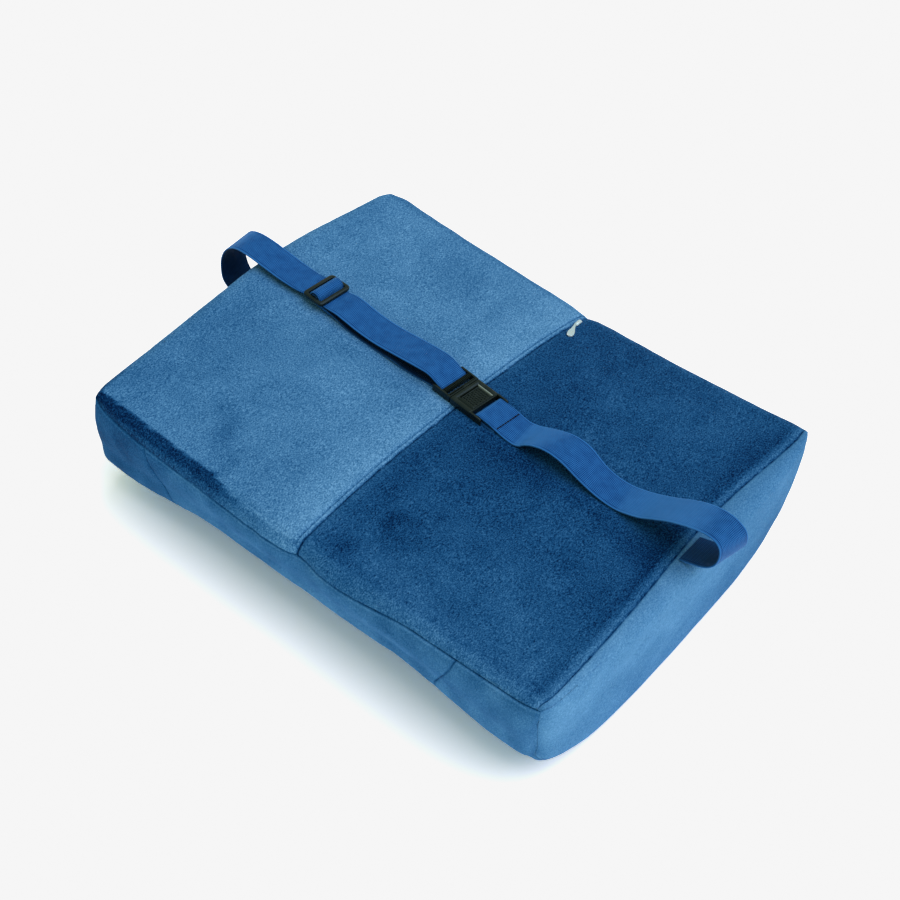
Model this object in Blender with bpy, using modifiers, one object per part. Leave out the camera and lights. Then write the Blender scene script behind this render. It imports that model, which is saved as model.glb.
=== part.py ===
"""A contoured back cushion in a zipped plush cover, with an elastic strap, a slider and a press buckle.

The foam has thick end wings and a rounded front, and its back face is two panels that meet at a zip
seam. It lies on its front with the back face up. Metres, +Z up, the long side along X.
"""

import math

import bmesh
import bpy
from mathutils import Vector

MM = 0.001

# Driving dimensions of the cushion
LENGTH = 0.400  # end seam to end seam, at the corners
WIDTH = 0.333  # long seam to long seam, at the corners
DEPTH = 0.106  # back face to what the cushion lies on, at the wings
WAIST_DEPTH = 0.082  # back face to front, midway between the wings
EDGE_DEPTH = {"waist": 0.053, "left": 0.071, "right": 0.0642}  # height of a long side
WAIST_EXTRA = 0.0053  # how much higher a long side is left of the waist's shallowest place
EDGE_RADIUS = 0.012
CORNER_RADIUS = 0.0070  # where the rim's edges meet
CORNER_REACH = 0.045  # how far down a corner widens from that radius
LOWER_CORNER_EXTRA = 0.002
END_OVERHANG = 0.011  # how far the filled ends bulge past the end seams
CORNER_TUCK = 0.80  # share of that overhang that is missing at the corners
LEFT_BULGE = 0.0078  # how much further the left end bulges, past its middle
LEFT_RISE = 0.0032
FAR_RISE = 0.0020  # how much higher the far corner at the right end stands
LEFT_SEAM_DROP = 0.009  # how far under the rim the left end seam lies
SIDE_OVERHANG = 0.0045
SAG = 0.008  # how far the long edges sink midway along
CROWN = 0.001
GROOVE = 0.0022  # depth of a sewn channel
GROOVE_WIDTH = 0.0032
NOTCH = 0.0045  # how far the zip seam draws the long edges in
NOTCH_WIDTH = 0.012
SIDE_SEAM_X = 0.131  # where the end panels meet the long sides
FRONT_POWER = 3.1  # roundness of the front across the width

HALF_X = LENGTH / 2 + END_OVERHANG
HALF_Y = WIDTH / 2 + SIDE_OVERHANG

# Driving dimensions of the webbing and what is on it
WEB_IN_HARDWARE = 0.0258
WEB_THICK = 0.0013
CLEAR = 0.0003  # between touching pieces
FRAME_WIDTH = 0.0306
SLIDER_LENGTH = 0.0208
SLIDER_WIDTH = 0.0322
SLIDER_THICK = 0.0025
SLIDER_PLACE = Vector((-0.1510, 0.0256, 0.00975))
SLIDER_TURN = math.radians(-4)
SLIDER_BAR = 0.0034
CENTRE_BAR = 0.0032
BUCKLE_PLACE = Vector((-0.0093, 0.0188, 0.0044))  # the middle of the joint between its halves
BUCKLE_TURN = math.radians(-6)
BUCKLE_THICK = 0.0056
BUCKLE_WALL = 0.0016
MALE_LENGTH = 0.0180
HOUSING_LENGTH = 0.0208
FEMALE_LENGTH = 0.0312
BAR_THICK = 0.0020
PRESS_TRAVEL = 0.0012
PAD_SIZE = Vector((0.0138, 0.0186, 0.0016))
PAD_CENTRE_U = 0.0120
PAD_DROP = 0.0006  # the pad's top lies this far under the housing's
ZIP_TAPE = 0.0024

COLOURS = {
    "plush": (0.045, 0.175, 0.430, 1),
    "webbing": (0.012, 0.070, 0.290, 1),
    "black_plastic": (0.012, 0.014, 0.013, 1),
    "zip_teeth": (0.420, 0.330, 0.190, 1),
    "zip_metal": (0.520, 0.650, 0.720, 1),
}


def smoothstep(t):
    """Ease from 0 to 1 as t goes from 0 to 1."""
    t = min(max(t, 0.0), 1.0)
    return t * t * (3 - 2 * t)


def bell(distance, width):
    """A bump that is 1 at no distance and fades over the width."""
    return math.exp(-((distance / width) ** 2))


# The cushion's shape


def end_seam_x(y, side):
    """Where an end seam lies: drawn inward towards its middle."""
    drawn_in = 0.0085 * bell(y - 0.045, 0.095)
    return side * (LENGTH / 2 + 0.0015 - drawn_in)


def zip_seam_x(y):
    """The zip seam crosses the middle in a slight bow."""
    return 0.0080 * ((y + 0.080) / 0.230) ** 2 - 0.0058


def side_seam_drop(x):
    """How far under the rim the seam along a long side lies: at the rim by the corners only."""
    return 0.0010 + 0.0095 * (1 - min(abs(x / HALF_X), 1) ** 6)


def side_seam_x(z, side):
    """Where the end panels meet the long sides: the two seams lean."""
    lean = {-1: (0.141, 0.131), 1: (0.135, 0.118)}[side]
    down = min(-z / 0.055, 1)
    return side * (lean[0] + (lean[1] - lean[0]) * down)


def left_bulge(x, y):
    """Share of the left end's own bulge at a place: whole at the end, past its middle."""
    return bell(y - 0.075, 0.100) * max(-x / HALF_X, 0) ** 8


def face_height(x, y):
    """Height of the back face over its corners: flat, with long edges that sink midway along."""
    along, across = min(abs(x / HALF_X), 1), y / HALF_Y
    sag = SAG * (1 - along**2) ** 1.5 * abs(across) ** 3
    far_rise = FAR_RISE * (max(x / HALF_X, 0) * max(across, 0)) ** 3
    return CROWN * (1 - across**2) - sag + LEFT_RISE * left_bulge(x, y) + far_rise


def front_depth(x, y):
    """Depth of the front under the corners: a ridge along the middle, deepest at the wings."""
    along, across = x / HALF_X, min(abs(y) / HALF_Y, 1)
    wing = smoothstep((abs(along) - 0.34) / 0.52)
    waist = EDGE_DEPTH["waist"] + WAIST_EXTRA * (1 - smoothstep((x - 0.030) / 0.070))
    edge = waist + (EDGE_DEPTH["left" if x < 0 else "right"] - waist) * wing
    ridge = WAIST_DEPTH + (DEPTH + 0.0022 - WAIST_DEPTH) * wing
    return edge + (ridge - edge) * (1 - across**FRONT_POWER)


def groove_depth(p):
    """How deep the sewn channels are at a point of the box that the cushion is shaped from."""
    on_top, on_side = p.z > -1e-6, abs(abs(p.y) - HALF_Y) < 1e-6
    on_left_end = abs(p.x + HALF_X) < 1e-6
    gaps = []
    if on_top:
        gaps.append(abs(p.x - zip_seam_x(p.y)))
        gaps.append(abs(p.x - end_seam_x(p.y, 1)))
    if on_left_end:
        gaps.append(abs(-p.z - LEFT_SEAM_DROP))
    if on_side:
        gaps.append(abs(-p.z - side_seam_drop(p.x)))
        if -p.z > side_seam_drop(p.x):
            gaps.append(abs(p.x - side_seam_x(p.z, math.copysign(1, p.x))))
    return GROOVE * max((bell(gap, GROOVE_WIDTH) for gap in gaps), default=0)


def cushion_point(p):
    """Carry a point of the plain box (its top at z = 0) to the cushion's surface."""
    near_corner = abs(p.x / HALF_X) ** 5 * abs(p.y / HALF_Y) ** 5
    top_share = smoothstep(1 + p.z / CORNER_REACH)
    r = EDGE_RADIUS + (CORNER_RADIUS - EDGE_RADIUS) * near_corner * top_share
    r += LOWER_CORNER_EXTRA * near_corner * (1 - top_share)
    inner = Vector(
        (
            min(max(p.x, r - HALF_X), HALF_X - r),
            min(max(p.y, r - HALF_Y), HALF_Y - r),
            min(max(p.z, r - DEPTH), -r),
        )
    )
    q = inner + (p - inner).normalized() * (r - groove_depth(p))
    down = -q.z / DEPTH
    q.y -= math.copysign(NOTCH * bell(q.x, NOTCH_WIDTH) * abs(q.y / HALF_Y) ** 8, q.y) * (1 - down)
    q.y *= 1 + 0.018 * math.sin(math.pi * min(down * 1.4, 1)) - 0.030 * down
    past_seam = max(abs(q.x) - LENGTH / 2, 0)
    q.x -= math.copysign(past_seam * CORNER_TUCK * min(abs(q.y / HALF_Y), 1) ** 5, q.x)
    q.x *= 1 + 0.006 * math.sin(math.pi * down)
    q.x -= LEFT_BULGE * left_bulge(q.x, q.y) * (1 - down)
    top, bottom = face_height(q.x, q.y), -front_depth(q.x, q.y)
    if -q.z <= EDGE_RADIUS:
        q.z += top
    elif DEPTH + q.z <= EDGE_RADIUS:
        q.z = bottom + DEPTH + q.z
    else:
        share = (-q.z - EDGE_RADIUS) / (DEPTH - 2 * EDGE_RADIUS)
        q.z = (top - EDGE_RADIUS) * (1 - share) + (bottom + EDGE_RADIUS) * share
    q.z = max(q.z, -DEPTH)
    return q


def ruled(half, inner_lines):
    """Grid lines from -half to half: the given ones with their mirror images, and the two ends."""
    lines = sorted({0.0, *inner_lines, half})
    return [-x for x in reversed(lines[1:])] + lines


def cushion_lines():
    """The grid lines of the box along X, Y and Z, closer together at the seams and edges."""
    r = EDGE_RADIUS
    side = [SIDE_SEAM_X - 0.005, SIDE_SEAM_X, SIDE_SEAM_X + 0.005]
    along = ruled(
        HALF_X,
        [0.0045, 0.011, 0.032, 0.058, 0.082, 0.106, *side, 0.154, 0.173, 0.188, 0.193]
        + [LENGTH / 2 - 0.002, HALF_X - r / 2],
    )
    across = ruled(HALF_Y, [0.024, 0.050, 0.078, 0.105, 0.130, 0.148, HALF_Y - r, HALF_Y - r / 2])
    down = [0, 0.005, 0.0105, 0.016, 0.032, 0.055, 0.078, DEPTH - r, DEPTH - r / 2, DEPTH]
    return along, across, [-z for z in down]


def bend_to_seams(p):
    """Move a grid line of the box onto the seam that it stands for."""
    near_end = bell(abs(p.x) - (LENGTH / 2 - 0.002), 0.016) * (abs(p.x) < HALF_X - 1e-6)
    side = math.copysign(1, p.x)
    p.x += near_end * (end_seam_x(p.y, side) - side * (LENGTH / 2 - 0.002))
    p.x += bell(p.x, 0.020) * zip_seam_x(p.y)
    p.x += bell(abs(p.x) - SIDE_SEAM_X, 0.012) * (side_seam_x(p.z, side) - side * SIDE_SEAM_X)
    if 0 < -p.z < 0.04 and abs(p.x) < HALF_X - 1e-6:
        p.z -= bell(-p.z - 0.0105, 0.008) * (side_seam_drop(p.x) - 0.0105)
    return p


def cut_cube(lines):
    """A cube of unit cells cut along three sets of grid lines, as a bmesh at those lines' places."""
    bm = bmesh.new()
    bmesh.ops.create_cube(bm, size=1)
    for axis in range(3):
        edges = [e for e in bm.edges if abs((e.verts[0].co - e.verts[1].co)[axis]) > 0.5]
        cuts = len(lines[axis]) - 2
        bmesh.ops.subdivide_edges(bm, edges=edges, cuts=cuts, use_grid_fill=True)
    for v in bm.verts:
        for axis in range(3):
            cells = len(lines[axis]) - 1
            v.co[axis] = sorted(lines[axis])[round((v.co[axis] + 0.5) * cells)]
    return bm


# Making objects


def material(name, roughness, metallic=0.0):
    """The material of that name, made once."""
    made = bpy.data.materials.get(name)
    if made:
        return made
    made = bpy.data.materials.new(name)
    made.use_nodes = True
    shader = made.node_tree.nodes["Principled BSDF"]
    shader.inputs["Base Color"].default_value = COLOURS[name]
    shader.inputs["Roughness"].default_value = roughness
    shader.inputs["Metallic"].default_value = metallic
    return made


def add(name, bm, collection, finish, smooth_degrees=30):
    """Turn a bmesh into an object of that name."""
    bmesh.ops.recalc_face_normals(bm, faces=bm.faces)
    mesh = bpy.data.meshes.new(name)
    bm.to_mesh(mesh)
    bm.free()
    mesh.shade_smooth()
    mesh.set_sharp_from_angle(angle=math.radians(smooth_degrees))
    mesh.materials.append(finish)
    obj = bpy.data.objects.new(name, mesh)
    collection.objects.link(obj)
    return obj


def block(name, low, high, collection, finish, bevel=0.0):
    """A box from one corner to the other, with rounded edges where a bevel is given."""
    low, high = Vector(low), Vector(high)
    bm = bmesh.new()
    bmesh.ops.create_cube(bm, size=1)
    bmesh.ops.scale(bm, vec=high - low, verts=bm.verts)
    bmesh.ops.translate(bm, vec=(low + high) / 2, verts=bm.verts)
    obj = add(name, bm, collection, finish)
    if bevel:
        round_off = obj.modifiers.new("Rounded edges", "BEVEL")
        round_off.width = bevel
        round_off.segments = 2
    return obj


def combine(obj, others, operation, cutters):
    """Cut other objects out of one, or join them to it, and keep them as hidden guides."""
    for other in others:
        step = obj.modifiers.new(other.name, "BOOLEAN")
        step.operation = operation
        step.solver = "EXACT"
        step.object = other
        for owner in list(other.users_collection):
            owner.objects.unlink(other)
        cutters.objects.link(other)
        other.hide_render = True
        other.display_type = "WIRE"


def ribbon(name, stations, collection, finish, thickness=WEB_THICK):
    """A strip through stations of (middle, width, skew): skew moves its far edge on along X."""
    bm = bmesh.new()
    bmesh.ops.create_grid(bm, x_segments=len(stations) - 1, y_segments=1, size=1)
    bm.verts.ensure_lookup_table()
    for v in bm.verts:
        middle, width, skew = stations[round((v.co.x + 1) / 2 * (len(stations) - 1))]
        side = math.copysign(1, v.co.y)
        v.co = middle + Vector((side * skew, side * width / 2, 0))
    obj = add(name, bm, collection, finish, smooth_degrees=60)
    shell = obj.modifiers.new("Webbing", "SOLIDIFY")
    shell.thickness = thickness
    shell.offset = 0
    shell.use_even_offset = True
    return obj


def curve_through(rows, step):
    """Points about one step apart on a smooth curve through rows of numbers, in metres."""
    made = []
    padded = [rows[0], *rows, rows[-1]]
    for before, start, end, after in zip(padded, padded[1:], padded[2:], padded[3:]):
        reach = math.dist(start[:3], end[:3])
        count = max(1, round(reach / step))
        for i in range(count):
            t = i / count
            made.append(
                tuple(
                    b + 0.5 * t * (c - a + t * (2 * a - 5 * b + 4 * c - d + t * (3 * b - 3 * c + d - a)))
                    for a, b, c, d in zip(before, start, end, after)
                )
            )
    return [*made, rows[-1]]


# The straps. Columns: x, height over the face's corners, y, width and skew, all in millimetres.
# The left strap runs from the end seam round its loop and over the slider to the buckle, then back
# under itself, round the slider's centre bar, and ends sewn to its own underside.

LEFT_LOOP = [
    (-219.3, -10.0, 23.0, 27.5, 0),
    (-221.8, -14.8, 23.1, 27.5, 0),
    (-224.9, -22.0, 23.2, 27.5, 0),
    (-228.8, -28.8, 23.4, 27.5, 0),
    (-233.8, -32.8, 23.6, 27.5, 0.5),
    (-240.0, -32.5, 23.7, 27.5, 1),
    (-245.5, -27.0, 23.7, 27.5, 1),
    (-248.3, -17.0, 23.7, 27.5, 0),
    (-248.4, -7.5, 23.7, 27.5, -0.5),
    (-245.5, 2.0, 23.7, 27.5, -1),
    (-239.5, 9.0, 23.8, 27.5, -1),
    (-230.0, 12.4, 23.9, 27.5, 0),
    (-217.0, 12.2, 24.1, 27.5, 0),
    (-203.0, 10.2, 24.4, 27.5, 0),
    (-188.0, 8.0, 24.7, 27.2, 0),
    (-175.0, 7.2, 24.9, 26.6, 0),
    (-168.0, 7.2, 25.0, 25.8, 0),
]
# Over the slider's centre bar, as x and height from the slider's middle
OVER_SLIDER = [(-8, -2.45), (-6.2, -2.4), (-5.1, -1.4), (-4.7, 0), (-4.2, 2), (-2.4, 3.8), (0, 4.3)]
LEFT_TOP = [
    (-138.0, 7.7, 24.7, 26.2, 0.4),
    (-132.0, 8.8, 24.3, 26.9, 0),
    (-126.0, 9.2, 23.9, 27.3, 0),
    (-118.0, 8.4, 23.5, 27.5, 0),
    (-106.0, 7.0, 23.0, 27.5, 0),
    (-92.0, 6.6, 22.4, 27.5, 0),
    (-78.0, 7.6, 21.9, 27.5, 0),
    (-62.0, 9.4, 21.5, 27.5, 0),
    (-46.0, 10.8, 21.2, 27.2, 0),
    (-34.0, 10.6, 21.0, 26.4, 1),
]
LEFT_UNDER = [
    (-33.0, 2.1, 21.0, 26.4, 1),
    (-46.0, 2.0, 21.3, 27.2, 0),
    (-58.0, 2.2, 21.6, 27.5, 0),
    (-69.0, 3.4, 21.9, 27.5, 0),
    (-80.0, 2.4, 22.3, 27.5, 0),
    (-98.0, 2.0, 22.9, 27.5, 0),
    (-114.0, 2.4, 23.4, 27.5, 0),
    (-126.0, 4.0, 23.9, 27.0, 0),
    (-135.0, 5.3, 24.3, 26.4, 0),
]
# Round the slider's centre bar and back to the right, as x and height from the slider's middle
ROUND_SLIDER = [(10, -4.1), (6, -3.75), (3.6, -2.4), (2.7, -0.6), (2.6, 1.3), (1.4, 2.4), (-1.4, 2.4)]
ROUND_SLIDER += [(-2.6, 1.3), (-2.6, -0.8), (-2, -3.1), (0.4, -4.9), (4, -5.55), (10, -5.9), (17, -6.7)]

# The right strap starts folded under the buckle's end bar, passes over it and lies in waves to its
# loop over the end seam.
RIGHT_WAVES = [
    (34.0, 3.6, 15.9, 26.8, 1.2),
    (41.0, 2.5, 15.4, 27.2, 0),
    (48.0, 2.2, 15.2, 27.5, -1.0),
    (54.5, 4.2, 15.2, 27.5, 0),
    (61.0, 8.0, 15.4, 27.5, 2.5),
    (69.0, 11.8, 15.6, 27.5, 4.0),
    (78.0, 14.4, 15.8, 27.5, 4.2),
    (87.0, 14.6, 15.9, 27.5, 4.0),
    (96.0, 12.6, 15.9, 27.5, 3.0),
    (106.0, 8.0, 15.8, 27.5, 1.0),
    (116.0, 4.2, 15.6, 27.5, -1.5),
    (127.0, 2.2, 15.4, 27.5, -2.6),
    (138.0, 2.6, 15.1, 27.5, -2.4),
    (148.0, 5.6, 14.7, 27.5, -2.0),
    (159.0, 10.4, 14.2, 27.5, -1.5),
    (171.0, 17.8, 13.4, 27.5, 0),
    (184.0, 26.2, 12.5, 27.5, 0),
    (198.0, 33.4, 11.3, 27.5, -1.0),
    (209.5, 37.0, 10.3, 27.5, -1.0),
    (218.5, 36.9, 9.6, 27.5, 0),
    (225.5, 32.8, 9.2, 27.5, 2.0),
    (228.0, 25.5, 9.0, 27.5, 2.8),
    (227.0, 18.0, 8.9, 27.5, 2.8),
    (222.5, 11.8, 8.8, 27.5, 2.0),
    (214.5, 7.6, 8.6, 27.5, 0),
    (205.5, 4.4, 8.4, 27.5, 0),
    (198.5, 2.3, 8.3, 27.5, 0),
]


def in_hardware(place, turn, rows):
    """Rows of a strap from places along and over a piece of hardware that is turned on the face."""
    width = WEB_IN_HARDWARE / MM
    skew = -width / 2 * math.sin(turn)
    across, along = math.sin(turn), math.cos(turn)
    x, y, z = place / MM
    return [(x + u * along, z + height, y + u * across, width, skew) for u, height in rows]


def on_slider(rows):
    """Rows of a strap from places along and over the slider's middle."""
    return in_hardware(SLIDER_PLACE, SLIDER_TURN, rows)


def round_bar(bar_u, side, over_first):
    """Rows of a strap round a bar of the buckle, on one side of it, from over it to under or back."""
    reach = (BAR_THICK / 2 + CLEAR + WEB_THICK / 2) / MM
    half_bar = 1.0
    turn = [(0, reach), (half_bar, reach), (half_bar + 0.71 * reach, 0.71 * reach)]
    turn += [(half_bar + reach, 0)]
    turn += [(u, -z) for u, z in reversed(turn[:-1])]
    if not over_first:
        turn.reverse()
    return in_hardware(BUCKLE_PLACE, BUCKLE_TURN, [(bar_u / MM + side * u, z) for u, z in turn])


def stations_of(rows, step):
    """Strap stations along a smooth curve through rows given in millimetres."""
    points = [(x * MM, z * MM, y * MM, width * MM, skew * MM) for x, z, y, width, skew in rows]
    return [
        (Vector((x, y, z)), width, skew)
        for x, z, y, width, skew in curve_through(points, step)
    ]


LOOP_BAR_U = -0.0138
END_BAR_U = 0.0272


def make_left_strap(collection):
    """The strap from the left end seam over the slider to the buckle and back."""
    over = OVER_SLIDER + [(-x, z) for x, z in reversed(OVER_SLIDER[:-1])]
    rows = [*LEFT_LOOP, *on_slider(over), *LEFT_TOP, *round_bar(LOOP_BAR_U, 1, True), *LEFT_UNDER]
    rows += on_slider(ROUND_SLIDER)
    finish = material("webbing", 0.62)
    return ribbon("strap_left", stations_of(rows, 5 * MM), collection, finish)


def make_right_strap(collection):
    """The strap from under the buckle's end bar, over it and along to the right end seam."""
    folded = [(33.2, 1.9, 15.2, 26.8, 1.2), (26.0, 2.0, 15.4, 26.2, 1.3)]
    rows = [*folded, *round_bar(END_BAR_U, -1, False), (27.5, 5.2, 15.9, 26.2, 1.3), *RIGHT_WAVES]
    finish = material("webbing", 0.62)
    return ribbon("strap_right", stations_of(rows, 5 * MM), collection, finish)


def make_cushion(collection):
    """The filled cushion, as one solid with its sewn channels."""
    bm = cut_cube(cushion_lines())
    for v in bm.verts:
        v.co = cushion_point(bend_to_seams(v.co.copy()))
    return add("cushion", bm, collection, material("plush", 0.85), smooth_degrees=50)


def make_slider(collection, cutters):
    """The tri-glide slider: a rounded frame with a centre bar between two slots."""
    finish = material("black_plastic", 0.42)
    half_x, half_y, half_z = SLIDER_LENGTH / 2, SLIDER_WIDTH / 2, SLIDER_THICK / 2
    frame = block("slider", (-half_x, -half_y, -half_z), (half_x, half_y, half_z), collection, finish)
    round_off = frame.modifiers.new("Rounded edges", "BEVEL")
    round_off.width = 0.0007
    round_off.segments = 1
    slot_half = WEB_IN_HARDWARE / 2 + CLEAR
    slots = []
    for side, name in ((-1, "slider_slot_left"), (1, "slider_slot_right")):
        ends = sorted((side * CENTRE_BAR / 2, side * (half_x - SLIDER_BAR)))
        low, high = (ends[0], -slot_half, -half_z * 2), (ends[1], slot_half, half_z * 2)
        slots.append(block(name, low, high, collection, finish))
    combine(frame, slots, "DIFFERENCE", cutters)
    for piece in (frame, *slots):
        piece.location = SLIDER_PLACE
        piece.rotation_euler.z = SLIDER_TURN
    return frame


def make_male(collection, cutters):
    """The buckle's plug half: two arms, a bar for the webbing, a ribbed bar, an end plate, a tongue."""
    finish = material("black_plastic", 0.42)
    half_y, half_z, bar = FRAME_WIDTH / 2, BUCKLE_THICK / 2, BAR_THICK / 2
    inner = half_y - BUCKLE_WALL
    edge = -CLEAR / 2
    low, high = (-MALE_LENGTH, -half_y, -half_z), (edge, half_y, half_z)
    body = block("buckle_male", low, high, collection, finish, 0.0005)
    low, high = (-MALE_LENGTH - 0.001, -inner, -half_z * 2), (-0.0030, inner, half_z * 2)
    opening = block("male_opening", low, high, collection, finish)
    combine(body, [opening], "DIFFERENCE", cutters)
    into_arm = inner + BUCKLE_WALL / 2
    loop_bar = block(
        "male_loop_bar",
        (LOOP_BAR_U - 0.0014, -into_arm, -bar),
        (LOOP_BAR_U + 0.0014, into_arm, bar),
        collection,
        finish,
    )
    ribbed_bar = block(
        "male_ribbed_bar",
        (-0.0098, -into_arm, -bar),
        (-0.0060, into_arm, half_z - 0.0006),
        collection,
        finish,
    )
    low, high = (-0.0015, -0.0090, -bar), (0.0036, 0.0090, bar)
    tongue = block("male_tongue", low, high, collection, finish)
    combine(body, [loop_bar, ribbed_bar, tongue], "UNION", cutters)
    return body


def make_female(collection, cutters):
    """The buckle's socket half: a housing with a window for the press pad, two arms and an end bar."""
    finish = material("black_plastic", 0.42)
    half_y, half_z, bar = FRAME_WIDTH / 2, BUCKLE_THICK / 2, BAR_THICK / 2
    inner = half_y - BUCKLE_WALL
    edge = CLEAR / 2
    low, high = (edge, -half_y, -half_z), (FEMALE_LENGTH, half_y, half_z)
    body = block("buckle_female", low, high, collection, finish, 0.0006)
    opening = block(
        "female_opening",
        (HOUSING_LENGTH, -inner, -half_z * 2),
        (FEMALE_LENGTH + 0.001, inner, half_z * 2),
        collection,
        finish,
    )
    pad_low = PAD_CENTRE_U - PAD_SIZE.x / 2 - CLEAR * 1.5
    pad_high = PAD_CENTRE_U + PAD_SIZE.x / 2 + CLEAR * 1.5
    pad_half = PAD_SIZE.y / 2 + CLEAR * 1.5
    floor = half_z - PAD_DROP - PAD_SIZE.z - PRESS_TRAVEL - 2 * CLEAR
    low, high = (pad_low, -pad_half, floor), (pad_high, pad_half, half_z * 2)
    window = block("female_window", low, high, collection, finish)
    socket = block(
        "female_socket",
        (-0.001, -0.0090 - CLEAR, -bar - CLEAR),
        (0.0036 + CLEAR, 0.0090 + CLEAR, bar + CLEAR),
        collection,
        finish,
    )
    combine(body, [opening, window, socket], "DIFFERENCE", cutters)
    into_arm = inner + BUCKLE_WALL / 2
    end_bar = block(
        "female_end_bar",
        (END_BAR_U - 0.0013, -into_arm, -bar),
        (END_BAR_U + 0.0013, into_arm, bar),
        collection,
        finish,
    )
    combine(body, [end_bar], "UNION", cutters)
    return body


def make_button(collection):
    """The press pad in the socket's window, which slides down to free the plug."""
    top = BUCKLE_THICK / 2 - PAD_DROP
    low = (PAD_CENTRE_U - PAD_SIZE.x / 2, -PAD_SIZE.y / 2, top - PAD_SIZE.z)
    high = (PAD_CENTRE_U + PAD_SIZE.x / 2, PAD_SIZE.y / 2, top)
    return block("buckle_button", low, high, collection, material("black_plastic", 0.42), 0.0004)


def make_zip(collection):
    """The closed zip's row of teeth, low in the seam between the two back panels."""
    rows = []
    for y in (-128, -96, -64, -32, 0, 32, 64, 96, 128):
        x = zip_seam_x(y * MM)
        z = face_height(x, y * MM) - 0.0011
        rows.append((Vector((x, y * MM, z)), ZIP_TAPE, 0))
    bm = bmesh.new()
    bmesh.ops.create_grid(bm, x_segments=1, y_segments=len(rows) - 1, size=1)
    for v in bm.verts:
        middle, width, _ = rows[round((v.co.y + 1) / 2 * (len(rows) - 1))]
        v.co = middle + Vector((math.copysign(width / 2, v.co.x), 0, 0))
    obj = add("zip_teeth", bm, collection, material("zip_teeth", 0.5), smooth_degrees=60)
    shell = obj.modifiers.new("Teeth", "SOLIDIFY")
    shell.thickness = 0.0008
    shell.offset = 0
    return obj


def make_zip_pull(collection):
    """The zip's small slider body and its drop-shaped puller, which lies on the dark panel's edge."""
    finish = material("zip_metal", 0.35, 0.6)
    y = 0.1472
    x = zip_seam_x(y) + 0.0022
    z = face_height(x, y)
    body = block("zip_slider", (-0.0017, -0.0038, 0), (0.0017, 0.0038, 0.0019), collection, finish, 0.0006)
    body.location = (x, y, z + 2 * CLEAR)
    bm = bmesh.new()
    outline = [(0, 0.0011), (-0.0050, 0.0013), (-0.0105, 0.0026), (-0.0138, 0.0027), (-0.0165, 0.0016)]
    bmesh.ops.create_grid(bm, x_segments=2, y_segments=len(outline) - 1, size=1)
    for v in bm.verts:
        along, half = outline[round((1 - v.co.y) / 2 * (len(outline) - 1))]
        v.co = Vector((v.co.x * half, along, 0))
    puller = add("zip_puller", bm, collection, finish)
    shell = puller.modifiers.new("Plate", "SOLIDIFY")
    shell.thickness = 0.0008
    shell.offset = 0
    puller.location = (x, y - 0.0044, z + 0.0016)
    puller.rotation_euler = (math.radians(-8), 0, math.radians(19))
    return [body, puller]


def stand_on_origin(root, parts):
    """Move the whole so that the middle of its underside's box is at the origin."""
    bpy.context.view_layer.update()
    graph = bpy.context.evaluated_depsgraph_get()
    corners = []
    for part in parts:
        shown = part.evaluated_get(graph)
        corners += [shown.matrix_world @ Vector(corner) for corner in shown.bound_box]
    low = [min(c[axis] for c in corners) for axis in range(3)]
    high = [max(c[axis] for c in corners) for axis in range(3)]
    root.location = (-(low[0] + high[0]) / 2, -(low[1] + high[1]) / 2, -low[2])


def main():
    """Build the cushion, its strap and its hardware."""
    for obj in list(bpy.data.objects):
        bpy.data.objects.remove(obj, do_unlink=True)
    parts = bpy.data.collections.new("back_cushion")
    cutters = bpy.data.collections.new("cutters")
    for collection in (parts, cutters):
        bpy.context.scene.collection.children.link(collection)
    root = bpy.data.objects.new("back_face", None)
    buckle = bpy.data.objects.new("buckle_place", None)
    parts.objects.link(root)
    parts.objects.link(buckle)
    buckle.parent = root
    buckle.location = BUCKLE_PLACE
    buckle.rotation_euler.z = BUCKLE_TURN

    made = [make_cushion(parts), make_left_strap(parts), make_right_strap(parts)]
    made += [make_slider(parts, cutters), make_zip(parts), *make_zip_pull(parts)]
    for part in made:
        part.parent = root
    on_buckle = [make_male(parts, cutters), make_female(parts, cutters), make_button(parts)]
    for part in [*on_buckle, *cutters.objects]:
        part.parent = buckle
    for cutter in cutters.objects:
        if cutter.name.startswith("slider_slot"):
            cutter.parent = root
    stand_on_origin(root, made + on_buckle)


main()
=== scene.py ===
"""The back cushion as it looks: plush cover with seams, lie of pile and painted sheen and shade, ribbed
webbing, moulded hardware, zip.
"""

import logging
import math
from bisect import bisect_left
from collections.abc import Sequence
from dataclasses import dataclass, field
from enum import Enum
from typing import Any

import bmesh
import bpy
from mathutils import Matrix, Vector, noise

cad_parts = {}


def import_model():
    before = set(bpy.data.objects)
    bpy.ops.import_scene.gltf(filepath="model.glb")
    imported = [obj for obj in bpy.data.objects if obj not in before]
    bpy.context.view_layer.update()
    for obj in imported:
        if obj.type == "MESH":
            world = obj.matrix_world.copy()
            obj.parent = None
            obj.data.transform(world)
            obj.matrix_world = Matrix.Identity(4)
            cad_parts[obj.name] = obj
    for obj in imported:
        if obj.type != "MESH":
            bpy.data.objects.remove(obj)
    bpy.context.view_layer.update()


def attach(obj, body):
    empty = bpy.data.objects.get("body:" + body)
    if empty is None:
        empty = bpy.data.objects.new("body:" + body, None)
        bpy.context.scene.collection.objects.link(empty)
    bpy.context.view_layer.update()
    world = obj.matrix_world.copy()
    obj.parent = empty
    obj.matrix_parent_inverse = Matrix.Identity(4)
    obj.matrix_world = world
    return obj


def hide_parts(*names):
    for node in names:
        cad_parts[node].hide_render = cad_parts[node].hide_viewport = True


LOG = logging.getLogger("back_cushion")
MM = 0.001
FACE = Vector((0.009083, 0.0, 0.106))  # the middle of the back face's corner plane, in the frame
CUSHION_BODY = "cushion_body"
BUTTON_BODY = "button_body"
WEB_IN_HARDWARE = 0.0258
SLIDER_PLACE = Vector((-0.1510, 0.0256, 0.00975))
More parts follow.
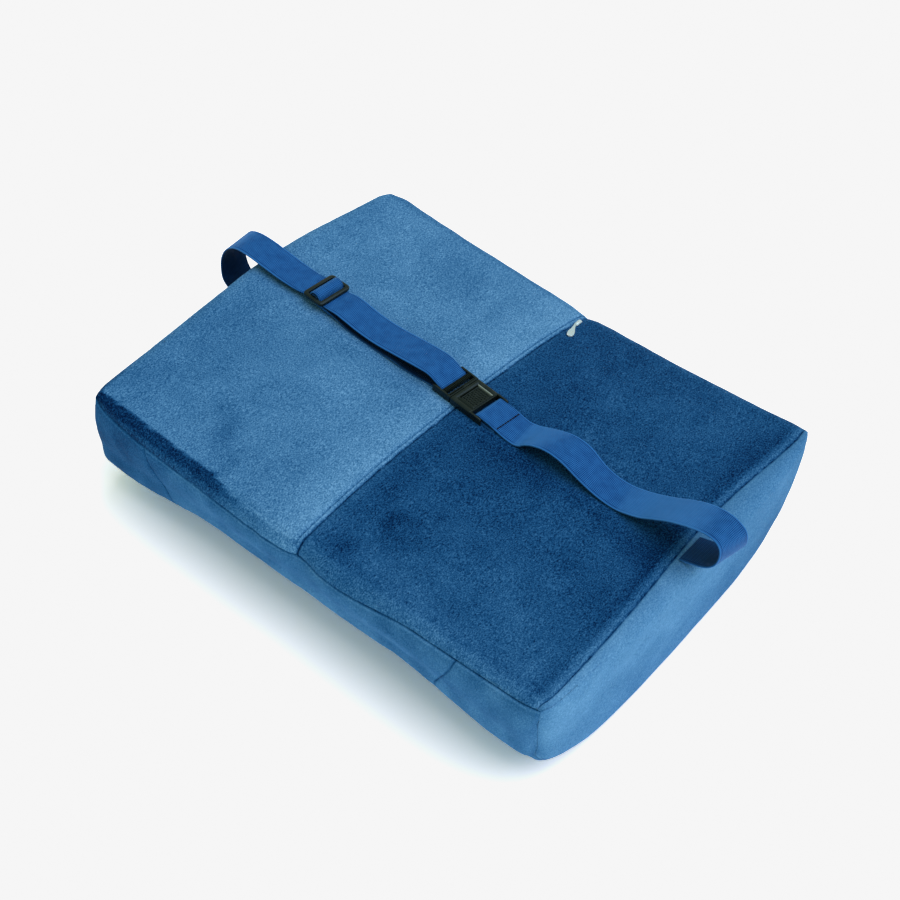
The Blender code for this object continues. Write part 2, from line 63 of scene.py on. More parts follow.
SLIDER_TURN = math.radians(-4)
BUCKLE_PLACE = Vector((-0.0093, 0.0188, 0.0044))
BUCKLE_TURN = math.radians(-6)
LOOP_BAR, END_BAR = -13.8, 27.2  # where the buckle's bars are along it, in millimetres
CLOSE = 1e-6  # how near a point of the plain box is to a face that it is on, in metres

Colour = tuple[float, float, float]


def smoothstep(t: float) -> float:
    """Ease from 0 to 1 as t goes from 0 to 1."""
    t = min(max(t, 0.0), 1.0)
    return t * t * (3 - 2 * t)


def bell(distance: float, width: float) -> float:
    """A bump that is 1 at no distance and fades over the width."""
    return math.exp(-((distance / width) ** 2))


# Shader nodes


class Value:
    """A number that varies over a surface. Python's operators on it add Math nodes."""

    def __init__(self, graph: "Graph", socket: bpy.types.NodeSocket) -> None:
        """Wrap a socket.

        Args:
            graph: the material's graph that the socket is in.
            socket: an output socket that gives one number.
        """
        self.graph = graph
        self.socket = socket

    def __add__(self, other: "Value | float") -> "Value":
        """The sum."""
        return self.graph.math("ADD", self, other)

    def __radd__(self, other: float) -> "Value":
        """The sum, the other way round."""
        return self.graph.math("ADD", other, self)

    def __sub__(self, other: "Value | float") -> "Value":
        """The difference."""
        return self.graph.math("SUBTRACT", self, other)

    def __rsub__(self, other: float) -> "Value":
        """The difference, the other way round."""
        return self.graph.math("SUBTRACT", other, self)

    def __mul__(self, other: "Value | float") -> "Value":
        """The product."""
        return self.graph.math("MULTIPLY", self, other)

    def __rmul__(self, other: float) -> "Value":
        """The product, the other way round."""
        return self.graph.math("MULTIPLY", other, self)

    def __truediv__(self, other: "Value | float") -> "Value":
        """The quotient."""
        return self.graph.math("DIVIDE", self, other)

    def __abs__(self) -> "Value":
        """The size without its sign."""
        return self.graph.math("ABSOLUTE", self)

    def sine(self) -> "Value":
        """The sine."""
        return self.graph.math("SINE", self)

    def ramp(self, low: float, high: float) -> "Value":
        """How far the value has come from low to high, eased, from 0 to 1.

        Args:
            low: the value that gives 0.
            high: the value that gives 1.

        Returns:
            The eased share.
        """
        node = self.graph.node(
            "ShaderNodeMapRange",
            {"interpolation_type": "SMOOTHSTEP"},
            {"Value": self, "From Min": low, "From Max": high},
        )
        return Value(self.graph, node.outputs["Result"])


@dataclass
class Graph:
    """The node graph of one material.

    Attributes:
        material: the material that the nodes are in.
    """

    material: bpy.types.Material

    @classmethod
    def start(cls, name: str) -> "Graph":
        """Make a material with an empty graph.

        Args:
            name: the material's name.

        Returns:
            The new material's graph.
        """
        material = bpy.data.materials.new(name)
        material.use_nodes = True
        material.node_tree.nodes.clear()
        return cls(material)

    def node(self, kind: str, settings: dict[str, Any], inputs: dict[Any, Any]) -> bpy.types.Node:
        """Add a node.

        Args:
            kind: the node's type.
            settings: its properties, and "stops" for a ramp's (place, colour) pairs.
            inputs: a number, colour, socket or Value for each input, by name or index.

        Returns:
            The node.
        """
        made = self.material.node_tree.nodes.new(kind)
        for name, setting in settings.items():
            if name == "stops":
                elements = made.color_ramp.elements
                while len(elements) < len(setting):
                    elements.new(1.0)
                for element, (place, colour) in zip(elements, setting):
                    element.position = place
                    element.color = (*colour, 1.0)
            else:
                setattr(made, name, setting)
        for name, value in inputs.items():
            if isinstance(value, Value):
                value = value.socket
            if isinstance(value, bpy.types.NodeSocket):
                self.material.node_tree.links.new(value, made.inputs[name])
            else:
                made.inputs[name].default_value = value
        return made

    def math(self, operation: str, *operands: "Value | float") -> Value:
        """Add a Math node.

        Args:
            operation: what it does.
            operands: its values, in order.

        Returns:
            Its result.
        """
        node = self.node("ShaderNodeMath", {"operation": operation}, dict(enumerate(operands)))
        return Value(self, node.outputs[0])

    def places(self) -> bpy.types.NodeSocket:
        """The surface's place in the frame."""
        return self.node("ShaderNodeTexCoord", {}, {}).outputs["Object"]

    def attribute(self, name: str) -> Value:
        """A number that the mesh holds at its points."""
        settings = {"attribute_name": name, "attribute_type": "GEOMETRY"}
        return Value(self, self.node("ShaderNodeAttribute", settings, {}).outputs["Fac"])

    def noise(
        self, scale: float, detail: float = 2.0, stretch: tuple[float, float, float] = (1.0, 1.0, 1.0)
    ) -> Value:
        """Noise over the surface.

        Args:
            scale: how many lumps a metre has.
            detail: how many finer layers it has.
            stretch: the scale along each axis; under 1 draws the lumps out.

        Returns:
            A value about 0.5.
        """
        spread = self.node("ShaderNodeMapping", {}, {"Vector": self.places(), "Scale": stretch})
        inputs = {"Vector": spread.outputs[0], "Scale": scale, "Detail": detail}
        return Value(self, self.node("ShaderNodeTexNoise", {}, inputs).outputs["Fac"])

    def colours(self, value: Value, stops: Sequence[tuple[float, Colour]]) -> bpy.types.NodeSocket:
        """The colour that a value has on a ramp of stops."""
        return self.node("ShaderNodeValToRGB", {"stops": stops}, {0: value}).outputs["Color"]

    def blend(self, share: "Value | float", first: Any, second: Any) -> bpy.types.NodeSocket:
        """Mix two colours.

        Args:
            share: how much of the second, from 0 to 1.
            first: a colour or a socket.
            second: a colour or a socket.

        Returns:
            The mixed colour.
        """
        inputs = {0: share, 6: first, 7: second}
        return self.node("ShaderNodeMix", {"data_type": "RGBA"}, inputs).outputs[2]

    def bump(self, height: Value, distance: float, strength: float = 1.0) -> bpy.types.NodeSocket:
        """A normal from a height.

        Args:
            height: the height, about 0 to 1.
            distance: what a height of 1 is, in metres.
            strength: how strongly it shows.

        Returns:
            The normal.
        """
        inputs = {"Height": height, "Distance": distance, "Strength": strength}
        return self.node("ShaderNodeBump", {}, inputs).outputs["Normal"]

    def surface(self, inputs: dict[str, Any]) -> bpy.types.Material:
        """Finish the graph with its shader.

        Args:
            inputs: the Principled shader's values and links.

        Returns:
            The material.
        """
        shader = self.node("ShaderNodeBsdfPrincipled", {}, inputs)
        self.node("ShaderNodeOutputMaterial", {}, {"Surface": shader.outputs["BSDF"]})
        return self.material


# Finishes


@dataclass(frozen=True)
class Plush:
    """Short-pile plush, whose tone follows the lie of its pile, with painted sheen and shade carried in the
    mesh's tone.
    """

    slot: str = "plush"
    tufts: float = 0.96
    streaks: float = 0.36
    patches: float = 0.12
    brushed: float = 0.14
    tones: tuple[tuple[float, Colour], ...] = (
        (0.00, (0.0005, 0.006, 0.035)),
        (0.15, (0.0020, 0.024, 0.090)),
        (0.30, (0.0060, 0.057, 0.168)),
        (0.45, (0.0150, 0.090, 0.232)),
        (0.60, (0.0330, 0.138, 0.312)),
        (0.75, (0.0600, 0.200, 0.405)),
        (0.90, (0.1000, 0.275, 0.505)),
        (1.00, (0.1500, 0.365, 0.630)),
    )

    def material(self) -> bpy.types.Material:
        """Make the pile's material, with tufts, brushed streaks and worn patches over the mesh's tone with
        its painted sheen and shade.

        Returns:
            The material.
        """
        graph = Graph.start("plush")
        tufts = graph.noise(1250, 1.0, (1.0, 0.62, 0.8))
        streaks = graph.noise(900, 1.0, (1.0, 0.38, 0.5))
        patches = graph.noise(24, 3.0)
        brushed = graph.noise(85, 2.0, (1.0, 0.45, 0.8))
        pile = graph.attribute("pile")
        grain = (tufts - 0.5) * self.tufts + (streaks - 0.5) * self.streaks
        # the mesh's tone holds the panels' painted sheen, painted shade along rims and seams, and painted
        # strap shadows
        tone = graph.attribute("nap") + grain * pile
        tone = tone + (patches - 0.5) * self.patches + (brushed - 0.5) * self.brushed
        height = tufts * 0.7 + streaks * 0.3
        return graph.surface(
            {
                "Base Color": graph.colours(tone, self.tones),
                "Roughness": 0.92,
                "Specular IOR Level": 0.06,
                "Specular Tint": (0.10, 0.45, 1.0, 1.0),
                "Sheen Weight": 0.05,
                "Sheen Roughness": 0.45,
                "Sheen Tint": (0.25, 0.65, 1.0, 1.0),
                "Normal": graph.bump(height, 0.0009, 0.8),
            }
        )


@dataclass(frozen=True)
class Webbing:
    """Elastic webbing: ribs along it, fine picks across it and a smooth selvedge at each edge, with painted
    shade on its inner side and a painted highlight on its lit slopes.
    """

    slot: str = "webbing"
    half_width: float = 0.01375
    rib: float = 0.00125
    pick: float = 0.00118
    deep: Colour = (0.0015, 0.022, 0.125)
    ground: Colour = (0.0100, 0.092, 0.305)
    raised: Colour = (0.0310, 0.170, 0.470)
    selvedge: Colour = (0.0240, 0.145, 0.420)
    # dull to bright: the painted highlight on slopes that face the light
    dull: Colour = (0.0200, 0.130, 0.390)
    bright: Colour = (0.0400, 0.184, 0.480)
    painted_inner_shade: Colour = (0.0002, 0.003, 0.016)

    def material(self) -> bpy.types.Material:
        """Make the material, woven along the strip's own UV map, which is in metres.

        Returns:
            The material.
        """
        graph = Graph.start("webbing")
        uv = graph.node("ShaderNodeUVMap", {"uv_map": "web"}, {}).outputs["UV"]
        parts = graph.node("ShaderNodeSeparateXYZ", {}, {0: uv})
        across, along = Value(graph, parts.outputs[0]), Value(graph, parts.outputs[1])
        ribs = (across * (2 * math.pi / self.rib)).sine() * 0.5 + 0.5
        picks = (along * (2 * math.pi / self.pick)).sine() * 0.5 + 0.5
        edge = abs(across).ramp(self.half_width - 0.0011, self.half_width - 0.0006)
        line = bell_node(abs(across) - (self.half_width - 0.0017), 0.00040)
        weave = (ribs * 0.55 + picks * 0.45) * (1 - edge) + edge * 0.75
        mottle = graph.noise(160, 3.0)
        shade = weave * 0.75 + mottle * 0.35 - 0.10
        # painted shade where the mesh marks the inner side, painted highlight where it marks a lit slope
        under = graph.attribute("under")
        lit = graph.attribute("lit")
        woven = graph.colours(shade, ((0.18, self.deep), (0.45, self.ground), (0.74, self.raised)))
        edged = graph.blend(edge, woven, (*self.selvedge, 1.0))
        lined = graph.blend(line * 0.7, edged, (*self.deep, 1.0))
        glare = graph.colours(shade, ((0.20, self.dull), (0.58, self.bright)))
        bright = graph.blend(lit, lined, glare)
        shaded = graph.blend(under, bright, (*self.painted_inner_shade, 1.0))
        return graph.surface(
            {
                "Base Color": shaded,
                "Roughness": 0.60 + mottle * 0.16,
                "Specular IOR Level": 0.14,
                "Specular Tint": (0.20, 0.55, 1.0, 1.0),
                "Sheen Weight": 0.05,
                "Sheen Roughness": 0.35,
                "Sheen Tint": (0.3, 0.68, 1.0, 1.0),
                "Normal": graph.bump(weave - line * 0.6, 0.00022, 0.9),
            }
        )


def bell_node(distance: Value, width: float) -> Value:
    """A bump that is 1 at no distance and 0 from the width on, in shader nodes."""
    return 1 - abs(distance / width).ramp(0.0, 1.0)


@dataclass(frozen=True)
class Plastic:
    """Black moulded plastic with a faint spark texture, worn, slightly smoother patches, and a painted
    highlight where the mesh marks a glinting edge.
    """

    slot: str = "black_plastic"
    colour: Colour = (0.0050, 0.0085, 0.0070)
    worn: Colour = (0.0110, 0.0165, 0.0135)
    # the painted highlight's colour
    painted_glint: Colour = (0.20, 0.26, 0.24)

    def material(self) -> bpy.types.Material:
        """Make the material, with a painted highlight where the mesh marks a glinting edge.

        Returns:
            The material.
        """
        graph = Graph.start("black_plastic")
        grain = graph.noise(2600, 2.0)
        wear = graph.noise(170, 4.0)
        rubbed = wear.ramp(0.50, 0.72)
        plain = graph.blend(rubbed * 0.6, (*self.colour, 1.0), (*self.worn, 1.0))
        return graph.surface(
            {
                # painted highlight where the mesh marks the window's glinting far edge
                "Base Color": graph.blend(graph.attribute("rub"), plain, (*self.painted_glint, 1.0)),
                "Roughness": 0.27 + grain * 0.12 + rubbed * 0.08,
                "Specular IOR Level": 0.34,
                "Specular Tint": (0.48, 0.78, 0.90, 1.0),
                "Normal": graph.bump(grain, 0.00005, 0.5),
            }
        )


@dataclass(frozen=True)
class ZipCoil:
    """The pale nylon of the zip's teeth."""

    slot: str = "zip_teeth"

    def material(self) -> bpy.types.Material:
        """Make the material, with soil in patches.

        Returns:
            The material.
        """
        graph = Graph.start("zip_coil")
        soil = graph.noise(900, 2.0)
        return graph.surface(
            {
                "Base Color": graph.blend(soil, (0.52, 0.44, 0.28, 1.0), (0.26, 0.20, 0.11, 1.0)),
                "Roughness": 0.35 + soil * 0.2,
                "Normal": graph.bump(soil, 0.0001, 0.4),
            }
        )


@dataclass(frozen=True)
class ZipMetal:
    """The zip's painted metal, pale silver-blue, rubbed at its rim."""

    slot: str = "zip_metal"

    def material(self) -> bpy.types.Material:
        """Make the material, rubbed in patches.

        Returns:
            The material.
        """
        graph = Graph.start("zip_metal")
        rub = graph.noise(700, 3.0).ramp(0.45, 0.70)
        return graph.surface(
            {
                "Base Color": graph.blend(rub, (0.48, 0.66, 0.74, 1.0), (0.70, 0.78, 0.80, 1.0)),
                "Metallic": 0.35 + rub * 0.3,
                "Roughness": 0.34 - rub * 0.08,
                "Normal": graph.bump(rub, 0.00005, 0.5),
            }
        )


@dataclass(frozen=True)
class Thread:
    """The dark sewing thread."""

    slot: str = "webbing"

    def material(self) -> bpy.types.Material:
        """Make the material, with the thread's twist.

        Returns:
            The material.
        """
        graph = Graph.start("thread")
        twist = graph.noise(2400, 1.0)
        return graph.surface(
            {
                "Base Color": graph.blend(twist, (0.001, 0.001, 0.006, 1.0), (0.004, 0.003, 0.016, 1.0)),
                "Roughness": 0.65 + twist * 0.2,
                "Specular IOR Level": 0.10,
                "Normal": graph.bump(twist, 0.0001, 0.5),
            }
        )


# Modelling with operators


def deselect() -> None:
    """Leave edit mode and select nothing."""
    if bpy.context.object and bpy.context.object.mode != "OBJECT":
        bpy.ops.object.mode_set(mode="OBJECT")
    bpy.ops.object.select_all(action="DESELECT")


def choose(obj: bpy.types.Object) -> None:
    """Make one object the only one selected, and active.

    Args:
        obj: the object.
    """
    deselect()
    obj.select_set(True)
    bpy.context.view_layer.objects.active = obj


def apply(obj: bpy.types.Object, kind: str, **settings: Any) -> None:
    """Add a modifier and apply it.

    Args:
        obj: the object.
        kind: the modifier's type.
        settings: its properties.
    """
    choose(obj)
    modifier = obj.modifiers.new(kind.title(), kind)
    for name, value in settings.items():
        setattr(modifier, name, value)
    bpy.ops.object.modifier_apply(modifier=modifier.name)


def cut(obj: bpy.types.Object, others: Sequence[bpy.types.Object], operation: str = "DIFFERENCE") -> None:
    """Cut other objects out of one, or join them to it, and remove them.

    Args:
        obj: the object that stays.
        others: the cutters.
        operation: DIFFERENCE or UNION.
    """
    for other in others:
        apply(obj, "BOOLEAN", operation=operation, solver="EXACT", object=other)
        bpy.data.objects.remove(other, do_unlink=True)


def join(objects: Sequence[bpy.types.Object], name: str) -> bpy.types.Object:
    """Join objects into one.

    Args:
        objects: the objects.
        name: the name of the one.

    Returns:
        The joined object.
    """
    deselect()
    for obj in objects:
        obj.select_set(True)
    bpy.context.view_layer.objects.active = objects[0]
    bpy.ops.object.join()
    objects[0].name = name
    return objects[0]


def smooth(obj: bpy.types.Object, degrees: float = 35) -> None:
    """Shade an object smooth, with its sharper edges left sharp."""
    choose(obj)
    bpy.ops.object.shade_smooth_by_angle(angle=math.radians(degrees))


def set_down(obj: bpy.types.Object, place: Vector, turn: float = 0.0, lean: float = 0.0) -> None:
    """Turn and move an object's mesh, with the object itself left at the origin.

    Args:
        obj: the object, modelled about its own middle.
        place: where it goes, from the middle of the back face.
        turn: its turn on the face, in radians.
        lean: its lean about its own X before that, in radians.
    """
    choose(obj)
    obj.location = FACE + place
    obj.rotation_euler = (lean, 0.0, turn)
    bpy.ops.object.transform_apply(location=True, rotation=True, scale=True)


def repeat(obj: bpy.types.Object, spots: Sequence[tuple[Vector, float]]) -> list[bpy.types.Object]:
    """Copy an object to each of its spots, every copy with its own mesh, and remove the first one.

    Args:
        obj: the object, modelled about its own middle.
        spots: the place and the turn of each copy.

    Returns:
        The copies.
    """
    made = []
    for place, turn in spots:
        copy = obj.copy()
        copy.data = obj.data.copy()
        bpy.context.scene.collection.objects.link(copy)
        set_down(copy, place, turn)
        made.append(copy)
    bpy.data.objects.remove(obj, do_unlink=True)
    return made


@dataclass(frozen=True)
class Section:
    """One rectangular section of a moulding, in millimetres."""

    half_x: float
    half_y: float
    z: float
    x: float = 0.0
    y: float = 0.0


@dataclass
class Moulding:
    """A solid drawn up through sections that share one corner rounding.

    Attributes:
        name: the object's name.
        sections: from its underside, over its top and down into a recess if it has one.
        corner: the radius of the upright corners, in millimetres.
        segments: how many faces round a corner.
    """

    name: str
    sections: Sequence[Section]
    corner: float = 0.0
    segments: int = 4

    def build(self) -> bpy.types.Object:
        """Model it from a plane, by bevelling its corners and extruding it from section to section.

        Returns:
            The object, about its own middle.
        """
        first = self.sections[0]
        deselect()
        bpy.ops.mesh.primitive_plane_add(size=1, location=(first.x * MM, first.y * MM, first.z * MM))
        obj = bpy.context.object
        obj.name = self.name
        obj.scale = (2 * first.half_x * MM, 2 * first.half_y * MM, 1)
        bpy.ops.object.transform_apply(location=True, rotation=True, scale=True)
        bpy.ops.object.mode_set(mode="EDIT")
        bpy.ops.mesh.select_all(action="SELECT")
        if self.corner:
            bpy.ops.mesh.bevel(
                affect="VERTICES", offset=self.corner * MM, offset_type="OFFSET", segments=self.segments
            )
            bpy.ops.mesh.select_all(action="SELECT")
        for before, after in zip(self.sections, self.sections[1:]):
            step = Vector((after.x - before.x, after.y - before.y, after.z - before.z)) * MM
            bpy.ops.mesh.extrude_region_move(TRANSFORM_OT_translate={"value": step})
            size = (after.half_x / before.half_x, after.half_y / before.half_y, 1)
            middle = Vector((after.x, after.y, after.z)) * MM
            bpy.ops.transform.resize(value=size, center_override=middle)
        bpy.ops.mesh.select_all(action="SELECT")
        bpy.ops.mesh.normals_make_consistent(inside=False)
        bpy.ops.object.mode_set(mode="OBJECT")
        return obj


def slab(name: str, low: Sequence[float], high: Sequence[float], corner: float = 0.0) -> bpy.types.Object:
    """A straight-sided moulding from one corner to the other.

    Args:
        name: the object's name.
        low: its lowest corner, in millimetres.
        high: its highest corner, in millimetres.
        corner: the radius of its upright corners, in millimetres.

    Returns:
        The object.
    """
    half = [(b - a) / 2 for a, b in zip(low, high)]
    middle = [(a + b) / 2 for a, b in zip(low, high)]
    foot = Section(half[0], half[1], low[2], middle[0], middle[1])
    top = Section(half[0], half[1], high[2], middle[0], middle[1])
    return Moulding(name, (foot, top), corner).build()


@dataclass
class Dresser:
    """Gives finished pieces their material and body, and hides the solids that they stand for."""

    made: dict[str, bpy.types.Material] = field(default_factory=dict)

    def dress(
        self, obj: bpy.types.Object, finish: Any, body: str = CUSHION_BODY, stands_for: Sequence[str] = ()
    ) -> bpy.types.Object:
        """Finish one piece.

        Args:
            obj: the piece.
            finish: what it is made of.
            body: the body that it rides on.
            stands_for: the solids that it replaces.

        Returns:
            The piece.
        """
        key = type(finish).__name__
        if key not in self.made:
            self.made[key] = finish.material()
        obj.data.materials.clear()
        obj.data.materials.append(self.made[key])
        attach(obj, body)
        if stands_for:
            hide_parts(*stands_for)
        LOG.info("%s: %d faces, rides on %s", obj.name, len(obj.data.polygons), body)
        return obj


# The cushion


class Panel(Enum):
    """The panels of the cover, each with its tone: one blue cloth, painted lighter or darker by the sheen
    that its lie of pile shows in this light.
    """

    LEFT_BACK = 0.73
    RIGHT_BACK = 0.29
    RIGHT_END = 0.825
    LEFT_END = 0.70
    NEAR_SIDE = 0.56
    FAR_SIDE = 0.66
    FRONT = 0.62


@dataclass(frozen=True)
class BrushedOrShadedPatch:
    """A patch of tone on the back face, in millimetres: most where the pile is brushed another way, some a
    painted shadow of a strap.
    """

    x: float
    y: float
    reach_x: float
    reach_y: float
    tone: float


@dataclass(frozen=True)
class Crease:
    """A short fold in the cover, in millimetres from the middle of the back face."""

    start: tuple[float, float, float]
    end: tuple[float, float, float]
    depth: float
    width: float


@dataclass
class Cushion:
    """The filled cushion in its cover, with its sewn channels, swells and creases."""

    length: float = 0.400
    width: float = 0.333
    depth: float = 0.106
    waist_depth: float = 0.082
    waist_edge: float = 0.053
    left_edge: float = 0.071
    right_edge: float = 0.0655
    waist_extra: float = 0.0053
    edge_radius: float = 0.012
    corner_radius: float = 0.0065
    corner_reach: float = 0.045
    lower_corner_extra: float = 0.010
    end_overhang: float = 0.011
    plan_round: float = 0.020
    corner_tuck: float = 0.68
    left_bulge_depth: float = 0.0085
    left_rise: float = 0.0045
    far_rise: float = 0.0038
    left_seam_drop: float = 0.009
    side_overhang: float = 0.0045
    side_swell: float = 0.018
    side_taper: float = 0.030
    end_swell: float = 0.006
    sag: float = 0.008
    crown: float = 0.001
    notch: float = 0.0045
    notch_width: float = 0.012
    side_seam: float = 0.131
    side_drop: float = 0.0105
    end_inset: float = 0.002
    placket: float = 0.0034
    brushed_patches_and_strap_shadows: tuple[BrushedOrShadedPatch, ...] = (
        BrushedOrShadedPatch(-108, -128, 11, 18, -0.21),
        BrushedOrShadedPatch(-122, -112, 10, 9, -0.13),
        BrushedOrShadedPatch(-88, -146, 9, 12, -0.13),
        BrushedOrShadedPatch(-58, -122, 26, 20, -0.05),
        BrushedOrShadedPatch(-190, -60, 22, 50, -0.04),
        BrushedOrShadedPatch(-150, 20, 22, 30, 0.03),
        BrushedOrShadedPatch(-95, 120, 30, 22, -0.05),
        BrushedOrShadedPatch(-120, 75, 26, 18, 0.03),
        BrushedOrShadedPatch(-45, 45, 18, 60, 0.03),
        # painted shadow of the left strap along its near side, this patch and the next
        BrushedOrShadedPatch(-98, -5, 42, 13, -0.05),
        BrushedOrShadedPatch(-48, -4, 22, 12, -0.05),
        BrushedOrShadedPatch(38, -122, 17, 16, -0.08),
        BrushedOrShadedPatch(86, -150, 20, 12, 0.05),
        BrushedOrShadedPatch(180, -150, 16, 12, 0.04),
        BrushedOrShadedPatch(20, -146, 7, 9, -0.13),
        BrushedOrShadedPatch(30, -112, 5, 10, -0.13),
        BrushedOrShadedPatch(42, -102, 10, 5, -0.12),
        BrushedOrShadedPatch(55, -88, 4, 8, -0.12),
        BrushedOrShadedPatch(92, -112, 14, 4, -0.08),
        BrushedOrShadedPatch(74, -130, 10, 7, -0.07),
        BrushedOrShadedPatch(30, -76, 9, 14, 0.05),
        BrushedOrShadedPatch(34, -138, 16, 12, 0.06),
        BrushedOrShadedPatch(48, -150, 8, 10, 0.06),
        BrushedOrShadedPatch(14, -104, 8, 22, -0.06),
        BrushedOrShadedPatch(70, -112, 16, 10, -0.08),
        BrushedOrShadedPatch(92, -96, 14, 8, -0.07),
        BrushedOrShadedPatch(58, -140, 16, 14, 0.05),
        # painted shadow of the right strap along its near side, this patch and the next four
        BrushedOrShadedPatch(158, -15, 22, 16, -0.12),
        BrushedOrShadedPatch(182, -6, 14, 24, -0.14),
        BrushedOrShadedPatch(118, -9, 40, 13, -0.09),
        BrushedOrShadedPatch(66, -9, 28, 13, -0.13),
        BrushedOrShadedPatch(32, -5, 15, 14, -0.10),
        BrushedOrShadedPatch(150, -60, 14, 10, -0.05),
        BrushedOrShadedPatch(176, -78, 10, 22, -0.07),
        BrushedOrShadedPatch(188, 118, 16, 14, -0.09),
        BrushedOrShadedPatch(178, 96, 10, 16, -0.05),
        BrushedOrShadedPatch(120, 110, 30, 24, 0.03),
        BrushedOrShadedPatch(170, -146, 20, 10, 0.05),
    )
    creases: tuple[Crease, ...] = (
        Crease((204.0, -167.5, -9.0), (203.5, -170.5, -34.0), 1.1, 1.5),
        Crease((206.5, -164.5, -9.0), (208.5, -161.5, -44.0), 0.9, 1.5),
        Crease((199.0, -164.0, -1.5), (205.0, -150.0, -1.0), 1.0, 1.6),
        Crease((-192.0, -172.0, -20.0), (-178.0, -172.0, -44.0), 0.4, 3.2),
        Crease((-176.0, -172.0, -18.0), (-166.0, -172.0, -46.0), 0.6, 2.4),
        Crease((-44.0, -172.0, -16.0), (-30.0, -171.0, -34.0), 0.9, 3.5),
    )

    def __post_init__(self) -> None:
        """Work out the half sizes and where the grid has the end seams."""
        self.half_x = self.length / 2 + self.end_overhang
        self.half_y = self.width / 2 + self.side_overhang
        self.end_line = self.length / 2 - self.end_inset

    # Seam lines, as part of the plain box that the cushion is shaped from

    def end_seam_x(self, y: float) -> float:
        """Where the right end seam lies: drawn inward towards its middle."""
        return self.length / 2 + 0.0015 - 0.0085 * bell(y - 0.045, 0.095)

    def zip_seam_x(self, y: float) -> float:
        """Where the zip seam lies: it crosses the middle in a slight bow."""
        return 0.0080 * ((y + 0.080) / 0.230) ** 2 - 0.0058

    def side_seam_drop(self, x: float) -> float:
        """How far under the rim the seam along a long side lies."""
        rise = 1 - 0.85 * smoothstep((x - 0.035) / 0.065)
        return 0.0010 + 0.0095 * (1 - min(abs(x / self.half_x), 1) ** 6) * rise

    def side_seam_x(self, z: float, side: float) -> float:
        """Where an end panel meets a long side, at a height."""
        top, foot = (0.150, 0.128) if side < 0 else (0.135, 0.118)
        return side * (top + (foot - top) * min(-z / 0.100, 1))

    # The surface

    def left_bulge(self, x: float, y: float) -> float:
        """Share of the left end's own bulge at a place."""
        return bell(y - 0.030, 0.110) * max(-x / self.half_x, 0) ** 8

    def face_height(self, x: float, y: float) -> float:
        """Height of the back face over its corners.

        Args:
            x: the place along the cushion.
            y: the place across it.

        Returns:
            The height, in metres.
        """
        along, across = min(abs(x / self.half_x), 1), y / self.half_y
        sag = self.sag * (1 - along**2) ** 1.5 * abs(across) ** 3
        far_rise = self.far_rise * (max(x / self.half_x, 0) * max(across, 0)) ** 3
        return self.crown * (1 - across**2) - sag + self.left_rise * self.left_bulge(x, y) + far_rise

    def front_depth(self, x: float, y: float) -> float:
        """Depth of the front under the corners.

        Args:
            x: the place along the cushion.
            y: the place across it.

        Returns:
            The depth, in metres.
        """
        along, across = x / self.half_x, min(abs(y) / self.half_y, 1)
        wing = smoothstep((abs(along) - 0.34) / 0.52)
        waist = self.waist_edge + self.waist_extra * (1 - smoothstep((x - 0.030) / 0.070))
        edge = waist + ((self.left_edge if x < 0 else self.right_edge) - waist) * wing
        ridge = self.waist_depth + (self.depth + 0.0022 - self.waist_depth) * wing
        return edge + (ridge - edge) * (1 - across**3.1)

    def rounded(self, p: Vector) -> Vector:
        """Round the edges of the plain box.

        Args:
            p: a point of the box.

        Returns:
            The point on the box with its edges and corners rounded.
        """
        near_corner = abs(p.x / self.half_x) ** 5 * abs(p.y / self.half_y) ** 5
        top_share = smoothstep(1 + p.z / self.corner_reach)
        r = self.edge_radius + (self.corner_radius - self.edge_radius) * near_corner * top_share
        soft_corner = 0.001 if p.y > 0 else (self.lower_corner_extra if p.x > 0 else 0.003)
        r += soft_corner * near_corner * (1 - top_share)
        half = (self.half_x, self.half_y)
        inner = Vector([min(max(c, r - h), h - r) for c, h in zip(p, half)])
        inner = Vector((inner.x, inner.y, min(max(p.z, r - self.depth), -r)))
        return inner + (p - inner).normalized() * r

    def swell(self, down: float) -> float:
        """How wide the cushion is against its box, at a share of its depth."""
        return 1 + self.side_swell * math.sin(math.pi * min(down * 1.4, 1)) - self.side_taper * down

    def corner_share(self, q: Vector, down: float) -> float:
        """How far the upright corner nearest a point is rounded in plan.

        Args:
            q: the point.
            down: its share of the depth.

        Returns:
            0 for a square corner to 1 for a round one.
        """
        if q.x < 0:
            return 0.80 if q.y > 0 else 0.44 - 0.30 * down
        return 0.35 if q.y > 0 else 0.45 + 0.45 * down

    def round_corner(self, q: Vector, tuck: float, down: float) -> None:
        """Draw a point in where it is near an upright corner.

        Args:
            q: the point.
            tuck: the share of the end's overhang that is drawn in there.
            down: its share of the depth.
        """
        over_x = abs(q.x) - self.length / 2 - self.end_overhang * (1 - tuck) + self.plan_round
        over_y = abs(q.y) - self.half_y * self.swell(down) + self.plan_round
        if over_x > 0 and over_y > 0:
            share = self.corner_share(q, down)
            pull = share * (1 - max(over_x, over_y) / math.hypot(over_x, over_y))
            q.x -= math.copysign(over_x * pull, q.x)
            q.y -= math.copysign(over_y * pull, q.y)

